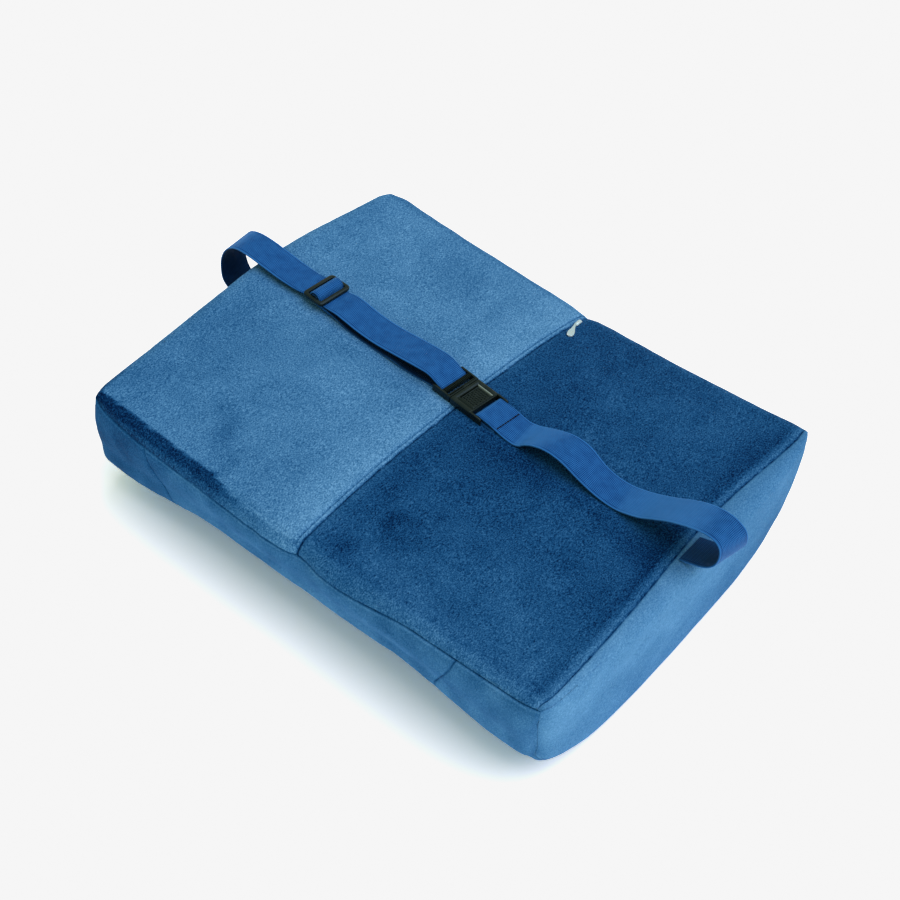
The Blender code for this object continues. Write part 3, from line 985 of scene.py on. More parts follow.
    def surface(self, p: Vector) -> Vector:
        """Carry a point of the plain box to the smooth surface.

        Args:
            p: the point, on a box whose top is at z = 0.

        Returns:
            Its place on the cushion, from the middle of the back face.
        """
        q = self.rounded(p)
        down = -q.z / self.depth
        drawn = self.notch * bell(q.x, self.notch_width) * abs(q.y / self.half_y) ** 8
        q.y -= math.copysign(drawn, q.y) * (1 - down)
        q.y *= self.swell(down)
        past_seam = max(abs(q.x) - self.length / 2, 0)
        tuck = self.corner_tuck * min(abs(q.y / self.half_y), 1) ** 5
        q.x -= math.copysign(past_seam * tuck, q.x)
        self.round_corner(q, tuck, down)
        q.x *= 1 + self.end_swell * math.sin(math.pi * down)
        q.x -= self.left_bulge_depth * self.left_bulge(q.x, q.y) * (1 - down)
        top, bottom = self.face_height(q.x, q.y), -self.front_depth(q.x, q.y)
        r = self.edge_radius
        if -q.z <= r:
            q.z += top
        elif self.depth + q.z <= r:
            q.z = bottom + self.depth + q.z
        else:
            share = (-q.z - r) / (self.depth - 2 * r)
            q.z = (top - r) * (1 - share) + (bottom + r) * share
        return q

    # The grid

    def near(self, centre: float) -> list[float]:
        """Grid lines close together about a seam."""
        return [centre + step * MM for step in (-3.6, -2.4, -1.6, -0.8, 0, 0.8, 1.6, 2.4, 3.6)]

    def spread(self, half_low: float, half_high: float, step: float, seams: Sequence[float]) -> list[float]:
        """Grid lines a step apart, with closer ones about seams.

        Args:
            half_low: where the lines start.
            half_high: where they end.
            step: the distance between them.
            seams: the lines that have to be there.

        Returns:
            The lines in order.
        """
        count = round((half_high - half_low) / step)
        even = [half_low + (half_high - half_low) * i / count for i in range(count + 1)]
        kept = [e for e in even[1:-1] if all(abs(e - s) > 0.55 * step for s in seams)]
        return sorted({round(line, 6) for line in (half_low, *kept, *seams, half_high)})

    def lines(self) -> list[list[float]]:
        """The grid lines along X, Y and Z.

        Returns:
            The lines along each axis, in metres.
        """
        rim = [self.half_y - step * MM for step in (1.5, 3.2, 5, 7, 9, 11)]
        seams = [0.0024, 0.0016, 0.0008, 0.0, -0.0008, -0.0018, -0.0027, -0.0034, -0.0041, -0.0052]
        seams += self.near(self.end_line)
        seams += [-self.end_line, -self.end_line - 0.003, -self.end_line + 0.003]
        seams += self.near(self.side_seam) + self.near(-self.side_seam)
        seams += [side * (self.half_x - step * MM) for side in (-1, 1) for step in (1.5, 3.2, 5)]
        along = self.spread(-self.half_x, self.half_x, 0.0042, seams)
        across = self.spread(-self.half_y, self.half_y, 0.0045, rim + [-y for y in rim])
        fine = [0.8, 1.8, 3.0, 4.2, 5.4, 6.6, 7.6, 8.4, 9.0, 9.6, 10.5, 11.4, 12.2, 13.2, 14.6, 16.5, 19]
        foot = [self.depth - step * MM for step in (12, 9.5, 7, 5, 3, 1.5)]
        down = self.spread(0.0, self.depth, 0.0048, [f * MM for f in fine] + foot)
        return [along, across, [-z for z in reversed(down)]]

    def bend(self, p: Vector) -> Vector:
        """Move a grid line of the box onto the seam that it stands for.

        Args:
            p: a point of the box.

        Returns:
            The same point, moved.
        """
        side = math.copysign(1, p.x)
        inside = abs(p.x) < self.half_x - CLOSE
        if inside:
            near_end = bell(abs(p.x) - self.end_line, 0.016)
            p.x += near_end * side * (self.end_seam_x(p.y) - self.end_line)
        p.x += bell(p.x, 0.020) * self.zip_seam_x(p.y)
        if 0 < -p.z < 0.04 and inside:
            near_seam = bell(-p.z - self.side_drop, 0.008)
            p.z -= near_seam * (self.side_seam_drop(p.x) - self.side_drop)
        shift = self.side_seam_x(p.z, side) - side * self.side_seam
        p.x += bell(abs(p.x) - self.side_seam, 0.026) * shift
        return p

    def gaps(self, p: Vector) -> dict[str, float]:
        """How far a point is from each seam that runs over its face of the box.

        Args:
            p: the point of the box.

        Returns:
            The distance to each seam by the seam's name, in metres.
        """
        found = {}
        on_side = abs(abs(p.y) - self.half_y) < CLOSE
        if p.z > -CLOSE:
            found["zip"] = abs(p.x - self.zip_seam_x(p.y))
            found["placket"] = abs(p.x + self.placket - self.zip_seam_x(p.y))
            found["end"] = abs(p.x - self.end_seam_x(p.y))
        if abs(p.x + self.half_x) < CLOSE:
            found["end"] = abs(-p.z - self.left_seam_drop)
        if on_side:
            drop = self.side_seam_drop(p.x)
            found["side"] = abs(-p.z - drop)
            if -p.z > drop:
                found["panel"] = abs(p.x - self.side_seam_x(p.z, math.copysign(1, p.x)))
            else:
                found["zip"] = abs(p.x - self.zip_seam_x(p.y))
                found["end"] = abs(p.x - self.end_seam_x(p.y))
        return found

    def relief(self, p: Vector, q: Vector) -> float:
        """How far the cover stands off the smooth surface at a point.

        Args:
            p: the point of the box.
            q: its place on the smooth surface.

        Returns:
            The relief, in metres.
        """
        gaps = self.gaps(p)
        relief = 0.0
        corner = (abs(p.x / self.half_x) * abs(p.y / self.half_y)) ** 14
        for name, gap in gaps.items():
            if name == "placket":
                relief -= 0.0008 * bell(gap, 0.0006)
                continue
            uneven = 1 + 0.35 * noise.noise(q * 110)
            strength = {"zip": 1.0, "end": 0.8, "side": 0.7, "panel": 0.55}[name] * (1 - 0.6 * corner)
            relief -= strength * (0.0006 * bell(gap, 0.0030) + 0.0013 * bell(gap, 0.0007)) * uneven
            relief += strength * 0.0003 * bell(gap - 0.0065, 0.0035)
            relief += strength * 0.0004 * bell(gap, 0.010) * noise.noise(q * 75)
        for depth, scale in ((0.0009, 13), (0.00035, 38), (0.00018, 120)):
            relief += depth * noise.noise(q * scale)
        for crease in self.creases:
            start, end = Vector(crease.start) * MM, Vector(crease.end) * MM
            share = min(max((q - start).dot(end - start) / (end - start).length_squared, 0), 1)
            distance = (q - start.lerp(end, share)).length
            fade = math.sin(math.pi * (0.1 + 0.8 * share))
            depth, width = crease.depth * MM * fade, crease.width * MM
            relief += depth * (0.5 * bell(distance - 2 * width, width) - bell(distance, width))
        return relief

    def panel(self, p: Vector) -> Panel:
        """The panel of the cover that a point is on.

        Args:
            p: the point of the box.

        Returns:
            The panel.
        """
        drop = self.side_seam_drop(p.x)
        if abs(p.x - self.half_x) < CLOSE or (p.x > self.end_seam_x(p.y) and -p.z < drop):
            return Panel.RIGHT_END
        if abs(p.x + self.half_x) < CLOSE and -p.z > self.left_seam_drop:
            return Panel.LEFT_END
        if p.z < CLOSE - self.depth:
            return Panel.FRONT
        if abs(abs(p.y) - self.half_y) < CLOSE and -p.z > drop:
            return Panel.NEAR_SIDE if p.y < 0 else Panel.FAR_SIDE
        return Panel.LEFT_BACK if p.x < self.zip_seam_x(p.y) else Panel.RIGHT_BACK

    def left_back_tone(self, p: Vector, wave: float, rim: float) -> float:
        """What is added to the tone of the left back panel: painted shade in a dark strip along its near
        rim and along its far and end rims, darker towards the near left and lighter towards the zip.

        Args:
            p: the point of the box.
            wave: the unevenness of a rim's edge there, in metres.
            rim: the share of a long side's rim.

        Returns:
            The tone to add.
        """
        fade = smoothstep((p.x + 0.095) / 0.045)
        hairs = wave + 0.0024 * noise.noise(Vector((p.x * 150, 5, 0)))
        # painted shade along the near rim, weaker and narrower towards the middle
        painted_rim_shade = smoothstep((-p.y + hairs - (self.half_y - 0.0104 + 0.006 * fade)) / 0.0022)
        painted_rim_shade *= 1 - 0.22 * smoothstep(-p.z / 0.004)
        tone = (0.38 * fade - 0.54) * painted_rim_shade - 0.10 * rim * (p.y > 0)
        # painted shade along the end rim
        end_rim = smoothstep((-p.x + wave - (self.half_x - 0.010)) / 0.004)
        tone -= 0.30 * end_rim * (1 - rim) * smoothstep((-p.y - 0.125) / 0.03)
        tone -= 0.09 * smoothstep((-p.x - 0.10) / 0.08) * smoothstep((0.06 - p.y) / 0.12)
        return tone + 0.12 * smoothstep((p.x + 0.05) / 0.04)

    def right_back_tone(self, p: Vector, wave: float, rim: float) -> float:
        """What is added to the tone of the right back panel: painted highlight on its rims and on the lip
        by the end seam, a darker line beyond the lip, and lighter towards the near side, the right end and
        the zip.

        Args:
            p: the point of the box.
            wave: the unevenness of a rim's edge there, in metres.
            rim: the share of a long side's rim.

        Returns:
            The tone to add.
        """
        edge = self.end_seam_x(p.y) - p.x + wave
        # painted highlight along the rims
        tone = 0.13 * rim * (p.y < 0) + 0.06 * rim * (p.y > 0)
        tone += 0.07 * smoothstep((-p.y - 0.06) / 0.06) + 0.05 * smoothstep((p.x - 0.045) / 0.035)
        # painted highlight on the lip by the end seam, with a darker line beyond it
        tone += 0.20 * smoothstep((0.0050 - edge) / 0.0020) - 0.08 * bell(edge - 0.010, 0.006)
        return tone + 0.08 * bell(p.x - self.zip_seam_x(p.y) - 0.003, 0.004)

    def brushed_and_strap_shadow_tone(self, q: Vector) -> float:
        """What the brushed patches and the painted strap shadows add to the tone at a place on the back
        face.

        Args:
            q: the place on the smooth surface.

        Returns:
            The tone to add.
        """
        tone = 0.0
        for tone_patch in self.brushed_patches_and_strap_shadows:
            off_x = (q.x / MM - tone_patch.x) / tone_patch.reach_x
            off_y = (q.y / MM - tone_patch.y) / tone_patch.reach_y
            tone += tone_patch.tone * math.exp(-(off_x**2) - off_y**2)
        return tone

    def nap(self, p: Vector, q: Vector) -> float:
        """The tone of the pile at a point, with the panels' painted sheen, painted shade along rims and in
        seam channels, and painted strap shadows.

        Args:
            p: the point of the box.
            q: its place on the smooth surface.

        Returns:
            The tone, from 0, dark, to 1, pale.
        """
        panel = self.panel(p)
        tone = panel.value
        gaps = self.gaps(p)
        wave = 0.0030 * noise.noise(Vector((p.x * 26, 0, 7)))
        wave += 0.0012 * noise.noise(Vector((p.x * 90, 3, 0)))
        rim = smoothstep((abs(p.y) + wave - (self.half_y - 0.0125)) / 0.0035)
        if panel is Panel.LEFT_BACK:
            tone += self.left_back_tone(p, wave, rim)
        elif panel is Panel.RIGHT_BACK:
            tone += self.right_back_tone(p, wave, rim)
        elif panel is Panel.NEAR_SIDE:
            tone -= 0.26 * smoothstep((-p.x - 0.09) / 0.09) - 0.05 * smoothstep((-q.z - 0.035) / 0.02)
            tone += 0.11 * noise.noise(Vector((p.x * 62, 9, p.z * 26)))
            tone += 0.13 * bell(gaps["side"] - 0.0018, 0.0008)
        elif panel is Panel.RIGHT_END:
            tone -= 0.09 * smoothstep((-q.z - 0.02) / 0.06) + 0.13 * smoothstep((q.y + 0.02) / 0.14)
            tone -= 0.16 * smoothstep((-p.y - self.half_y + 0.016) / 0.016)
        if p.z > -CLOSE:
            tone += self.brushed_and_strap_shadow_tone(q)
        tone += 0.05 * noise.noise(q * 22) + 0.04 * noise.noise(q * 55)
        # painted shade in the seam channels, and a darker line along the placket's fold
        shares = {"zip": 1.0, "end": 0.85, "side": 0.62, "panel": 0.62, "placket": 0.0}
        dark = max((shares[n] * bell(g, 0.0007) for n, g in gaps.items()), default=0)
        dark *= 0.85 + 0.8 * noise.noise(q * 190)
        return tone * (1 - min(dark, 1)) * (1 - 0.42 * bell(gaps.get("placket", 1), 0.0005))

    def build(self) -> bpy.types.Object:
        """Model the cover from a cube cut along the grid's lines.

        Returns:
            The cushion.
        """
        bm = bmesh.new()
        bmesh.ops.create_cube(bm, size=1)
        lines = self.lines()
        for axis in range(3):
            edges = [e for e in bm.edges if abs((e.verts[0].co - e.verts[1].co)[axis]) > 0.5]
            bmesh.ops.subdivide_edges(bm, edges=edges, cuts=len(lines[axis]) - 2, use_grid_fill=True)
        flat = []
        for v in bm.verts:
            p = Vector([lines[a][round((v.co[a] + 0.5) * (len(lines[a]) - 1))] for a in range(3)])
            flat.append(self.bend(p))
            v.co = self.surface(p)
        bmesh.ops.recalc_face_normals(bm, faces=bm.faces)
        bm.normal_update()
        tones = []
        piles = []
        backs = (Panel.LEFT_BACK, Panel.RIGHT_BACK)
        for v, p in zip(bm.verts, flat):
            smooth_place = v.co.copy()
            tones.append(self.nap(p, smooth_place))
            piles.append(1.0 if self.panel(p) in backs else 0.5)
            v.co += v.normal * self.relief(p, smooth_place)
            v.co.z = max(v.co.z, -self.depth)
            v.co += FACE
        mesh = bpy.data.meshes.new("plush_cover")
        bm.to_mesh(mesh)
        bm.free()
        mesh.attributes.new("nap", "FLOAT", "POINT").data.foreach_set("value", tones)
        mesh.attributes.new("pile", "FLOAT", "POINT").data.foreach_set("value", piles)
        mesh.shade_smooth()
        obj = bpy.data.objects.new("plush_cover", mesh)
        bpy.context.scene.collection.objects.link(obj)
        return obj

    def dress(self, dresser: Dresser) -> bpy.types.Object:
        """Build the cushion and give it its cover.

        Args:
            dresser: what gives the pieces their material and body.

        Returns:
            The cushion.
        """
        obj = dresser.dress(self.build(), Plush(), stands_for=["cushion"])
        return obj


# The straps

Row = tuple[float, float, float, float, float]


def in_hardware(place: Vector, turn: float, rows: Sequence[tuple[float, float]]) -> list[Row]:
    """Rows of a strap through a piece of hardware.

    Args:
        place: the hardware's middle, from the middle of the back face.
        turn: its turn on the face, in radians.
        rows: how far along it and how high over its middle the webbing is, in millimetres.

    Returns:
        The rows.
    """
    width = WEB_IN_HARDWARE / MM
    skew = -width / 2 * math.sin(turn)
    x, y, z = place / MM
    return [
        (x + u * math.cos(turn), z + height, y + u * math.sin(turn), width, skew) for u, height in rows
    ]


def round_bar(bar_u: float, side: float, over_first: bool) -> list[Row]:
    """Rows of a strap round a bar of the buckle.

    Args:
        bar_u: where the bar is along the buckle, in millimetres.
        side: 1 where the webbing goes round its right side and -1 for its left.
        over_first: whether the webbing comes from over the bar.

    Returns:
        The rows.
    """
    reach = 1.95
    turn = [(0.0, reach), (1.0, reach), (1.0 + 0.71 * reach, 0.71 * reach), (1.0 + reach, 0.0)]
    turn += [(u, -z) for u, z in reversed(turn[:-1])]
    if not over_first:
        turn.reverse()
    return in_hardware(BUCKLE_PLACE, BUCKLE_TURN, [(bar_u + side * u, z) for u, z in turn])


def between(a: float, b: float, c: float, d: float, t: float) -> float:
    """A smooth curve's value from b, at t = 0, to c, at t = 1, with a before them and d after."""
    return b + 0.5 * t * (c - a + t * (2 * a - 5 * b + 4 * c - d + t * (3 * b - 3 * c + d - a)))


@dataclass
class Strap:
    """A length of elastic webbing, through rows of x, height, y, width and skew in millimetres."""

    name: str
    stands_for: str
    rows: Sequence[Row]
    # how dark the painted shade on the strap's inner side is
    under: float = 0.5
    thickness: float = 0.0013
    step: float = 0.0016
    columns: int = 8

    def stations(self) -> list[Row]:
        """Rows close together on a smooth curve through the given ones, in metres.

        Returns:
            The close rows.
        """
        rows = [tuple(value * MM for value in row) for row in self.rows]
        made: list[Row] = []
        padded = [rows[0], *rows, rows[-1]]
        for before, start, end, after in zip(padded, padded[1:], padded[2:], padded[3:]):
            count = max(1, round(math.dist(start[:3], end[:3]) / self.step))
            for i in range(count):
                made.append(tuple(between(*four, i / count) for four in zip(before, start, end, after)))
        return [*made, rows[-1]]

    def build(self) -> tuple[bpy.types.Object, float]:
        """Model the webbing as a strip with its weave's own UV map, and give it its thickness.

        Returns:
            The strap and its length in metres.
        """
        stations = self.stations()
        reach = [0.0]
        for before, after in zip(stations, stations[1:]):
            reach.append(reach[-1] + math.dist(before[:3], after[:3]))
        bm = bmesh.new()
        bmesh.ops.create_grid(bm, x_segments=len(stations) - 1, y_segments=self.columns, size=1)
        places = {}
        for v in bm.verts:
            index = round((v.co.x + 1) / 2 * (len(stations) - 1))
            x, z, y, width, skew = stations[index]
            across = v.co.y
            places[v.index] = (across * width / 2, reach[index])
            wave = 0.00018 * noise.noise(Vector((reach[index] * 60, across * 2, 0)))
            v.co = FACE + Vector((x + across * skew, y + across * width / 2, z + wave))
        layer = bm.loops.layers.uv.new("web")
        for face in bm.faces:
            for loop in face.loops:
                loop[layer].uv = places[loop.vert.index]
        mesh = bpy.data.meshes.new(self.name)
        bm.to_mesh(mesh)
        bm.free()
        obj = bpy.data.objects.new(self.name, mesh)
        bpy.context.scene.collection.objects.link(obj)
        apply(obj, "SOLIDIFY", thickness=self.thickness, offset=0.0, use_even_offset=True)
        apply(obj, "BEVEL", width=0.0003, segments=2, limit_method="ANGLE", angle_limit=math.radians(60))
        smooth(obj, 50)
        self.darken_under(obj, stations, reach)
        return obj, reach[-1]

    def darken_under(self, obj: bpy.types.Object, stations: Sequence[Row], reach: Sequence[float]) -> None:
        """Note on the mesh its inner side, where less light comes, and the slopes that shine.

        Args:
            obj: the strap.
            stations: its rows, in metres.
            reach: how far along the strap each of them is.
        """
        mesh = obj.data
        outward = []
        for before, after in zip([stations[0], *stations], [*stations[1:], stations[-1]]):
            outward.append(Vector((before[1] - after[1], 0, after[0] - before[0])).normalized())
        under = [0.0] * len(mesh.vertices)
        lit = [0.0] * len(mesh.vertices)
        uvs = mesh.uv_layers["web"].data
        for loop in mesh.loops:
            index = min(bisect_left(reach, uvs[loop.index].uv.y), len(reach) - 1)
            facing = mesh.vertices[loop.vertex_index].normal.dot(outward[index])
            under[loop.vertex_index] = self.under * smoothstep(0.5 - facing)
            lit[loop.vertex_index] = 0.80 * smoothstep((-outward[index].x - 0.08) / 0.40)
        mesh.attributes.new("under", "FLOAT", "POINT").data.foreach_set("value", under)
        mesh.attributes.new("lit", "FLOAT", "POINT").data.foreach_set("value", lit)

    def dress(self, dresser: Dresser) -> bpy.types.Object:
        """Build the strap and give it its webbing.

        Args:
            dresser: what gives the pieces their material and body.

        Returns:
            The strap.
        """
        obj, length = self.build()
        dresser.dress(obj, Webbing(), stands_for=[self.stands_for])
        return obj


@dataclass
class Straps:
    """Both straps and the row of stitches that holds the right strap's folded end."""

    stitch_share: float = 0.80
    left_loop: tuple[Row, ...] = (
        (-219.6, -10.0, 23.0, 27.5, 0),
        (-223.4, -14.8, 23.1, 27.5, 0),
        (-226.4, -22.0, 23.2, 27.5, 0),
        (-229.6, -28.8, 23.4, 27.5, 0),
        (-233.8, -32.8, 23.6, 27.5, 0.5),
        (-240.0, -32.5, 23.7, 27.5, 1),
        (-245.5, -27.0, 23.7, 27.5, 1),
        (-248.3, -17.0, 23.7, 27.5, 0),
        (-248.4, -7.5, 23.7, 27.5, -0.5),
        (-245.5, 2.0, 23.7, 27.5, -1),
        (-239.5, 9.0, 23.8, 27.5, -1),
        (-230.0, 12.4, 23.9, 27.5, 0),
        (-217.0, 12.2, 24.1, 27.5, 0),
        (-203.0, 10.2, 24.4, 27.5, 0),
        (-188.0, 8.0, 24.7, 27.2, 0),
        (-175.0, 7.2, 24.9, 26.6, 0),
        (-168.0, 7.2, 25.0, 25.8, 0),
    )
    over_slider: tuple[tuple[float, float], ...] = (
        (-8.0, -2.45),
        (-6.2, -2.4),
        (-5.1, -1.4),
        (-4.7, 0),
        (-4.2, 2.0),
        (-2.4, 3.8),
        (0, 4.3),
        (2.4, 3.8),
        (4.2, 2.0),
        (4.7, 0),
        (5.1, -1.4),
        (6.2, -2.4),
        (8.0, -2.45),
    )
    left_top: tuple[Row, ...] = (
        (-138.0, 7.7, 24.7, 26.2, 0.4),
        (-132.0, 8.8, 24.3, 26.9, 0),
        (-126.0, 9.2, 23.9, 27.3, 0),
        (-118.0, 8.4, 23.5, 27.5, 0),
        (-106.0, 7.0, 23.0, 27.5, 0),
        (-92.0, 6.6, 22.4, 27.5, 0),
        (-78.0, 7.6, 21.9, 27.5, 0),
        (-62.0, 9.4, 21.5, 27.5, 0),
        (-46.0, 10.8, 21.2, 27.2, 0),
        (-34.0, 10.6, 21.0, 26.4, 1),
    )
    left_under: tuple[Row, ...] = (
        (-33.0, 2.1, 21.0, 26.4, 1),
        (-46.0, 2.0, 20.6, 27.2, 0),
        (-58.0, 2.2, 20.5, 27.5, 0),
        (-69.0, 3.2, 20.6, 27.5, 0),
        (-80.0, 2.4, 21.0, 27.5, 0),
        (-98.0, 2.0, 21.8, 27.5, 0),
        (-114.0, 2.4, 22.7, 27.5, 0),
        (-126.0, 4.0, 23.9, 27.0, 0),
        (-135.0, 5.3, 24.3, 26.4, 0),
    )
    round_slider: tuple[tuple[float, float], ...] = (
        (10, -4.1),
        (6, -3.75),
        (3.6, -2.4),
        (2.7, -0.6),
        (2.6, 1.3),
        (1.4, 2.4),
        (-1.4, 2.4),
        (-2.6, 1.3),
        (-2.6, -0.8),
        (-2.0, -3.1),
        (0.4, -4.9),
        (4, -5.55),
        (10, -5.9),
        (17, -6.7),
    )
    folded: tuple[Row, ...] = ((33.2, 1.9, 15.2, 26.8, 1.2), (26.0, 2.0, 15.4, 26.2, 1.3))
    right_waves: tuple[Row, ...] = (
        (27.5, 5.2, 15.9, 26.2, 1.3),
        (34.0, 3.6, 15.9, 26.8, 1.2),
        (41.0, 2.5, 15.4, 27.2, 0),
        (48.0, 2.2, 15.2, 27.5, -1.0),
        (54.5, 4.2, 15.2, 27.5, 0),
        (61.0, 8.0, 15.4, 27.5, 2.5),
        (69.0, 11.8, 15.6, 27.5, 4.0),
        (78.0, 14.4, 15.8, 27.5, 4.2),
        (87.0, 14.6, 15.9, 27.5, 4.0),
        (96.0, 12.6, 15.9, 27.5, 3.0),
        (106.0, 8.0, 15.8, 27.5, 1.0),
        (116.0, 4.2, 15.6, 27.5, -1.5),
        (127.0, 2.2, 15.4, 27.5, -2.6),
        (138.0, 2.6, 15.1, 27.5, -2.4),
        (148.0, 5.6, 14.7, 27.5, -2.0),
        (159.0, 10.4, 14.2, 27.5, -1.5),
        (171.0, 17.8, 13.4, 27.5, 0),
        (184.0, 26.2, 12.5, 27.5, 0),
        (198.0, 33.4, 11.3, 27.5, -1.0),
        (209.5, 37.0, 10.3, 27.5, -1.0),
        (218.5, 36.9, 9.6, 27.5, 0),
        (225.5, 32.8, 9.2, 27.5, 2.0),
        (228.0, 25.5, 9.0, 27.5, 2.8),
        (227.0, 18.0, 8.9, 27.5, 2.8),
        (222.5, 11.8, 8.8, 27.5, 2.0),
        (214.5, 7.6, 8.6, 27.5, 0),
        (205.5, 4.4, 8.4, 27.5, 0),
        (198.5, 2.3, 8.3, 27.5, 0),
    )

    def left(self) -> Strap:
        """The strap from the left end seam over the slider to the buckle and back.

        Returns:
            The strap, not yet built.
        """
        rows = [*self.left_loop, *in_hardware(SLIDER_PLACE, SLIDER_TURN, self.over_slider)]
        rows += [*self.left_top, *round_bar(LOOP_BAR, 1, True), *self.left_under]
        rows += in_hardware(SLIDER_PLACE, SLIDER_TURN, self.round_slider)
        # 0.88: how dark the painted shade on the left strap's inner side is
        return Strap("webbing_left", "strap_left", rows, 0.88)

    def right(self) -> Strap:
        """The strap from under the buckle's end bar, over it and along to the right end seam.

        Returns:
            The strap, not yet built.
        """
        rows = [*self.folded, *round_bar(END_BAR, -1, False), *self.right_waves]
        # 0.58: how dark the painted shade on the right strap's inner side is
        return Strap("webbing_right", "strap_right", rows, 0.58)

    def stitches(self, name: str, start: Vector, end: Vector, count: int) -> bpy.types.Object:
        """A row of stitches across a strap.

        Args:
            name: the row's name.
            start: its first end, in millimetres from the middle of the back face.
            end: its other end.
            count: how many stitches it has.

        Returns:
            The row as one object.
        """
        run = end - start
        length = run.length / count * self.stitch_share
        thread = Moulding(
            "thread",
            (
                Section(length * 0.40, 0.20, -0.12),
                Section(length * 0.50, 0.52, 0.02),
                Section(length * 0.44, 0.44, 0.22),
                Section(length * 0.30, 0.14, 0.30),
            ),
        ).build()
        turn = math.atan2(run.y, run.x)
        spots = [((start + run * ((i + 0.5) / count)) * MM, turn) for i in range(count)]
        return join(repeat(thread, spots), name)

    def dress(self, dresser: Dresser) -> None:
        """Build both straps and their stitches.

        Args:
            dresser: what gives the pieces their material and body.
        """
        self.left().dress(dresser)
        self.right().dress(dresser)
        row = self.stitches("fold_stitches", Vector((33.0, 4.0, 4.62)), Vector((35.5, 28.0, 4.62)), 9)
        smooth(dresser.dress(row, Thread()), 50)


# The hardware


@dataclass
class Slider:
    """The tri-glide slider: a rounded frame with a centre bar between two slots."""

    half_length: float = 10.4
    half_width: float = 16.1
    half_height: float = 1.45
    bar: float = 3.4
    centre_bar: float = 3.2

    def dress(self, dresser: Dresser) -> bpy.types.Object:
        """Build the slider and give it its plastic.

        Args:
            dresser: what gives the pieces their material and body.

        Returns:
            The slider.
        """
        x, y, z = self.half_length, self.half_width, self.half_height
        frame = Moulding(
            "slider_frame",
            (
                Section(x - 0.5, y - 0.5, -z),
                Section(x, y, -z + 0.45),
                Section(x, y, z - 0.55),
                Section(x - 0.75, y - 0.75, z),
            ),
            corner=3.0,
            segments=6,
        ).build()
        slot_half = WEB_IN_HARDWARE / MM / 2 + 0.3
        slots = []
        for side in (-1, 1):
            near, far = side * self.centre_bar / 2, side * (x - self.bar)
            low, high = (min(near, far), -slot_half, -4), (max(near, far), slot_half, 4)
            slots.append(slab("slot", low, high, 0.9))
        cut(frame, slots)
        apply(frame, "BEVEL", width=0.0004, segments=3, limit_method="ANGLE", angle_limit=math.radians(50))
        smooth(frame, 40)
        set_down(frame, SLIDER_PLACE, SLIDER_TURN)
        return dresser.dress(frame, Plastic(), stands_for=["slider"])


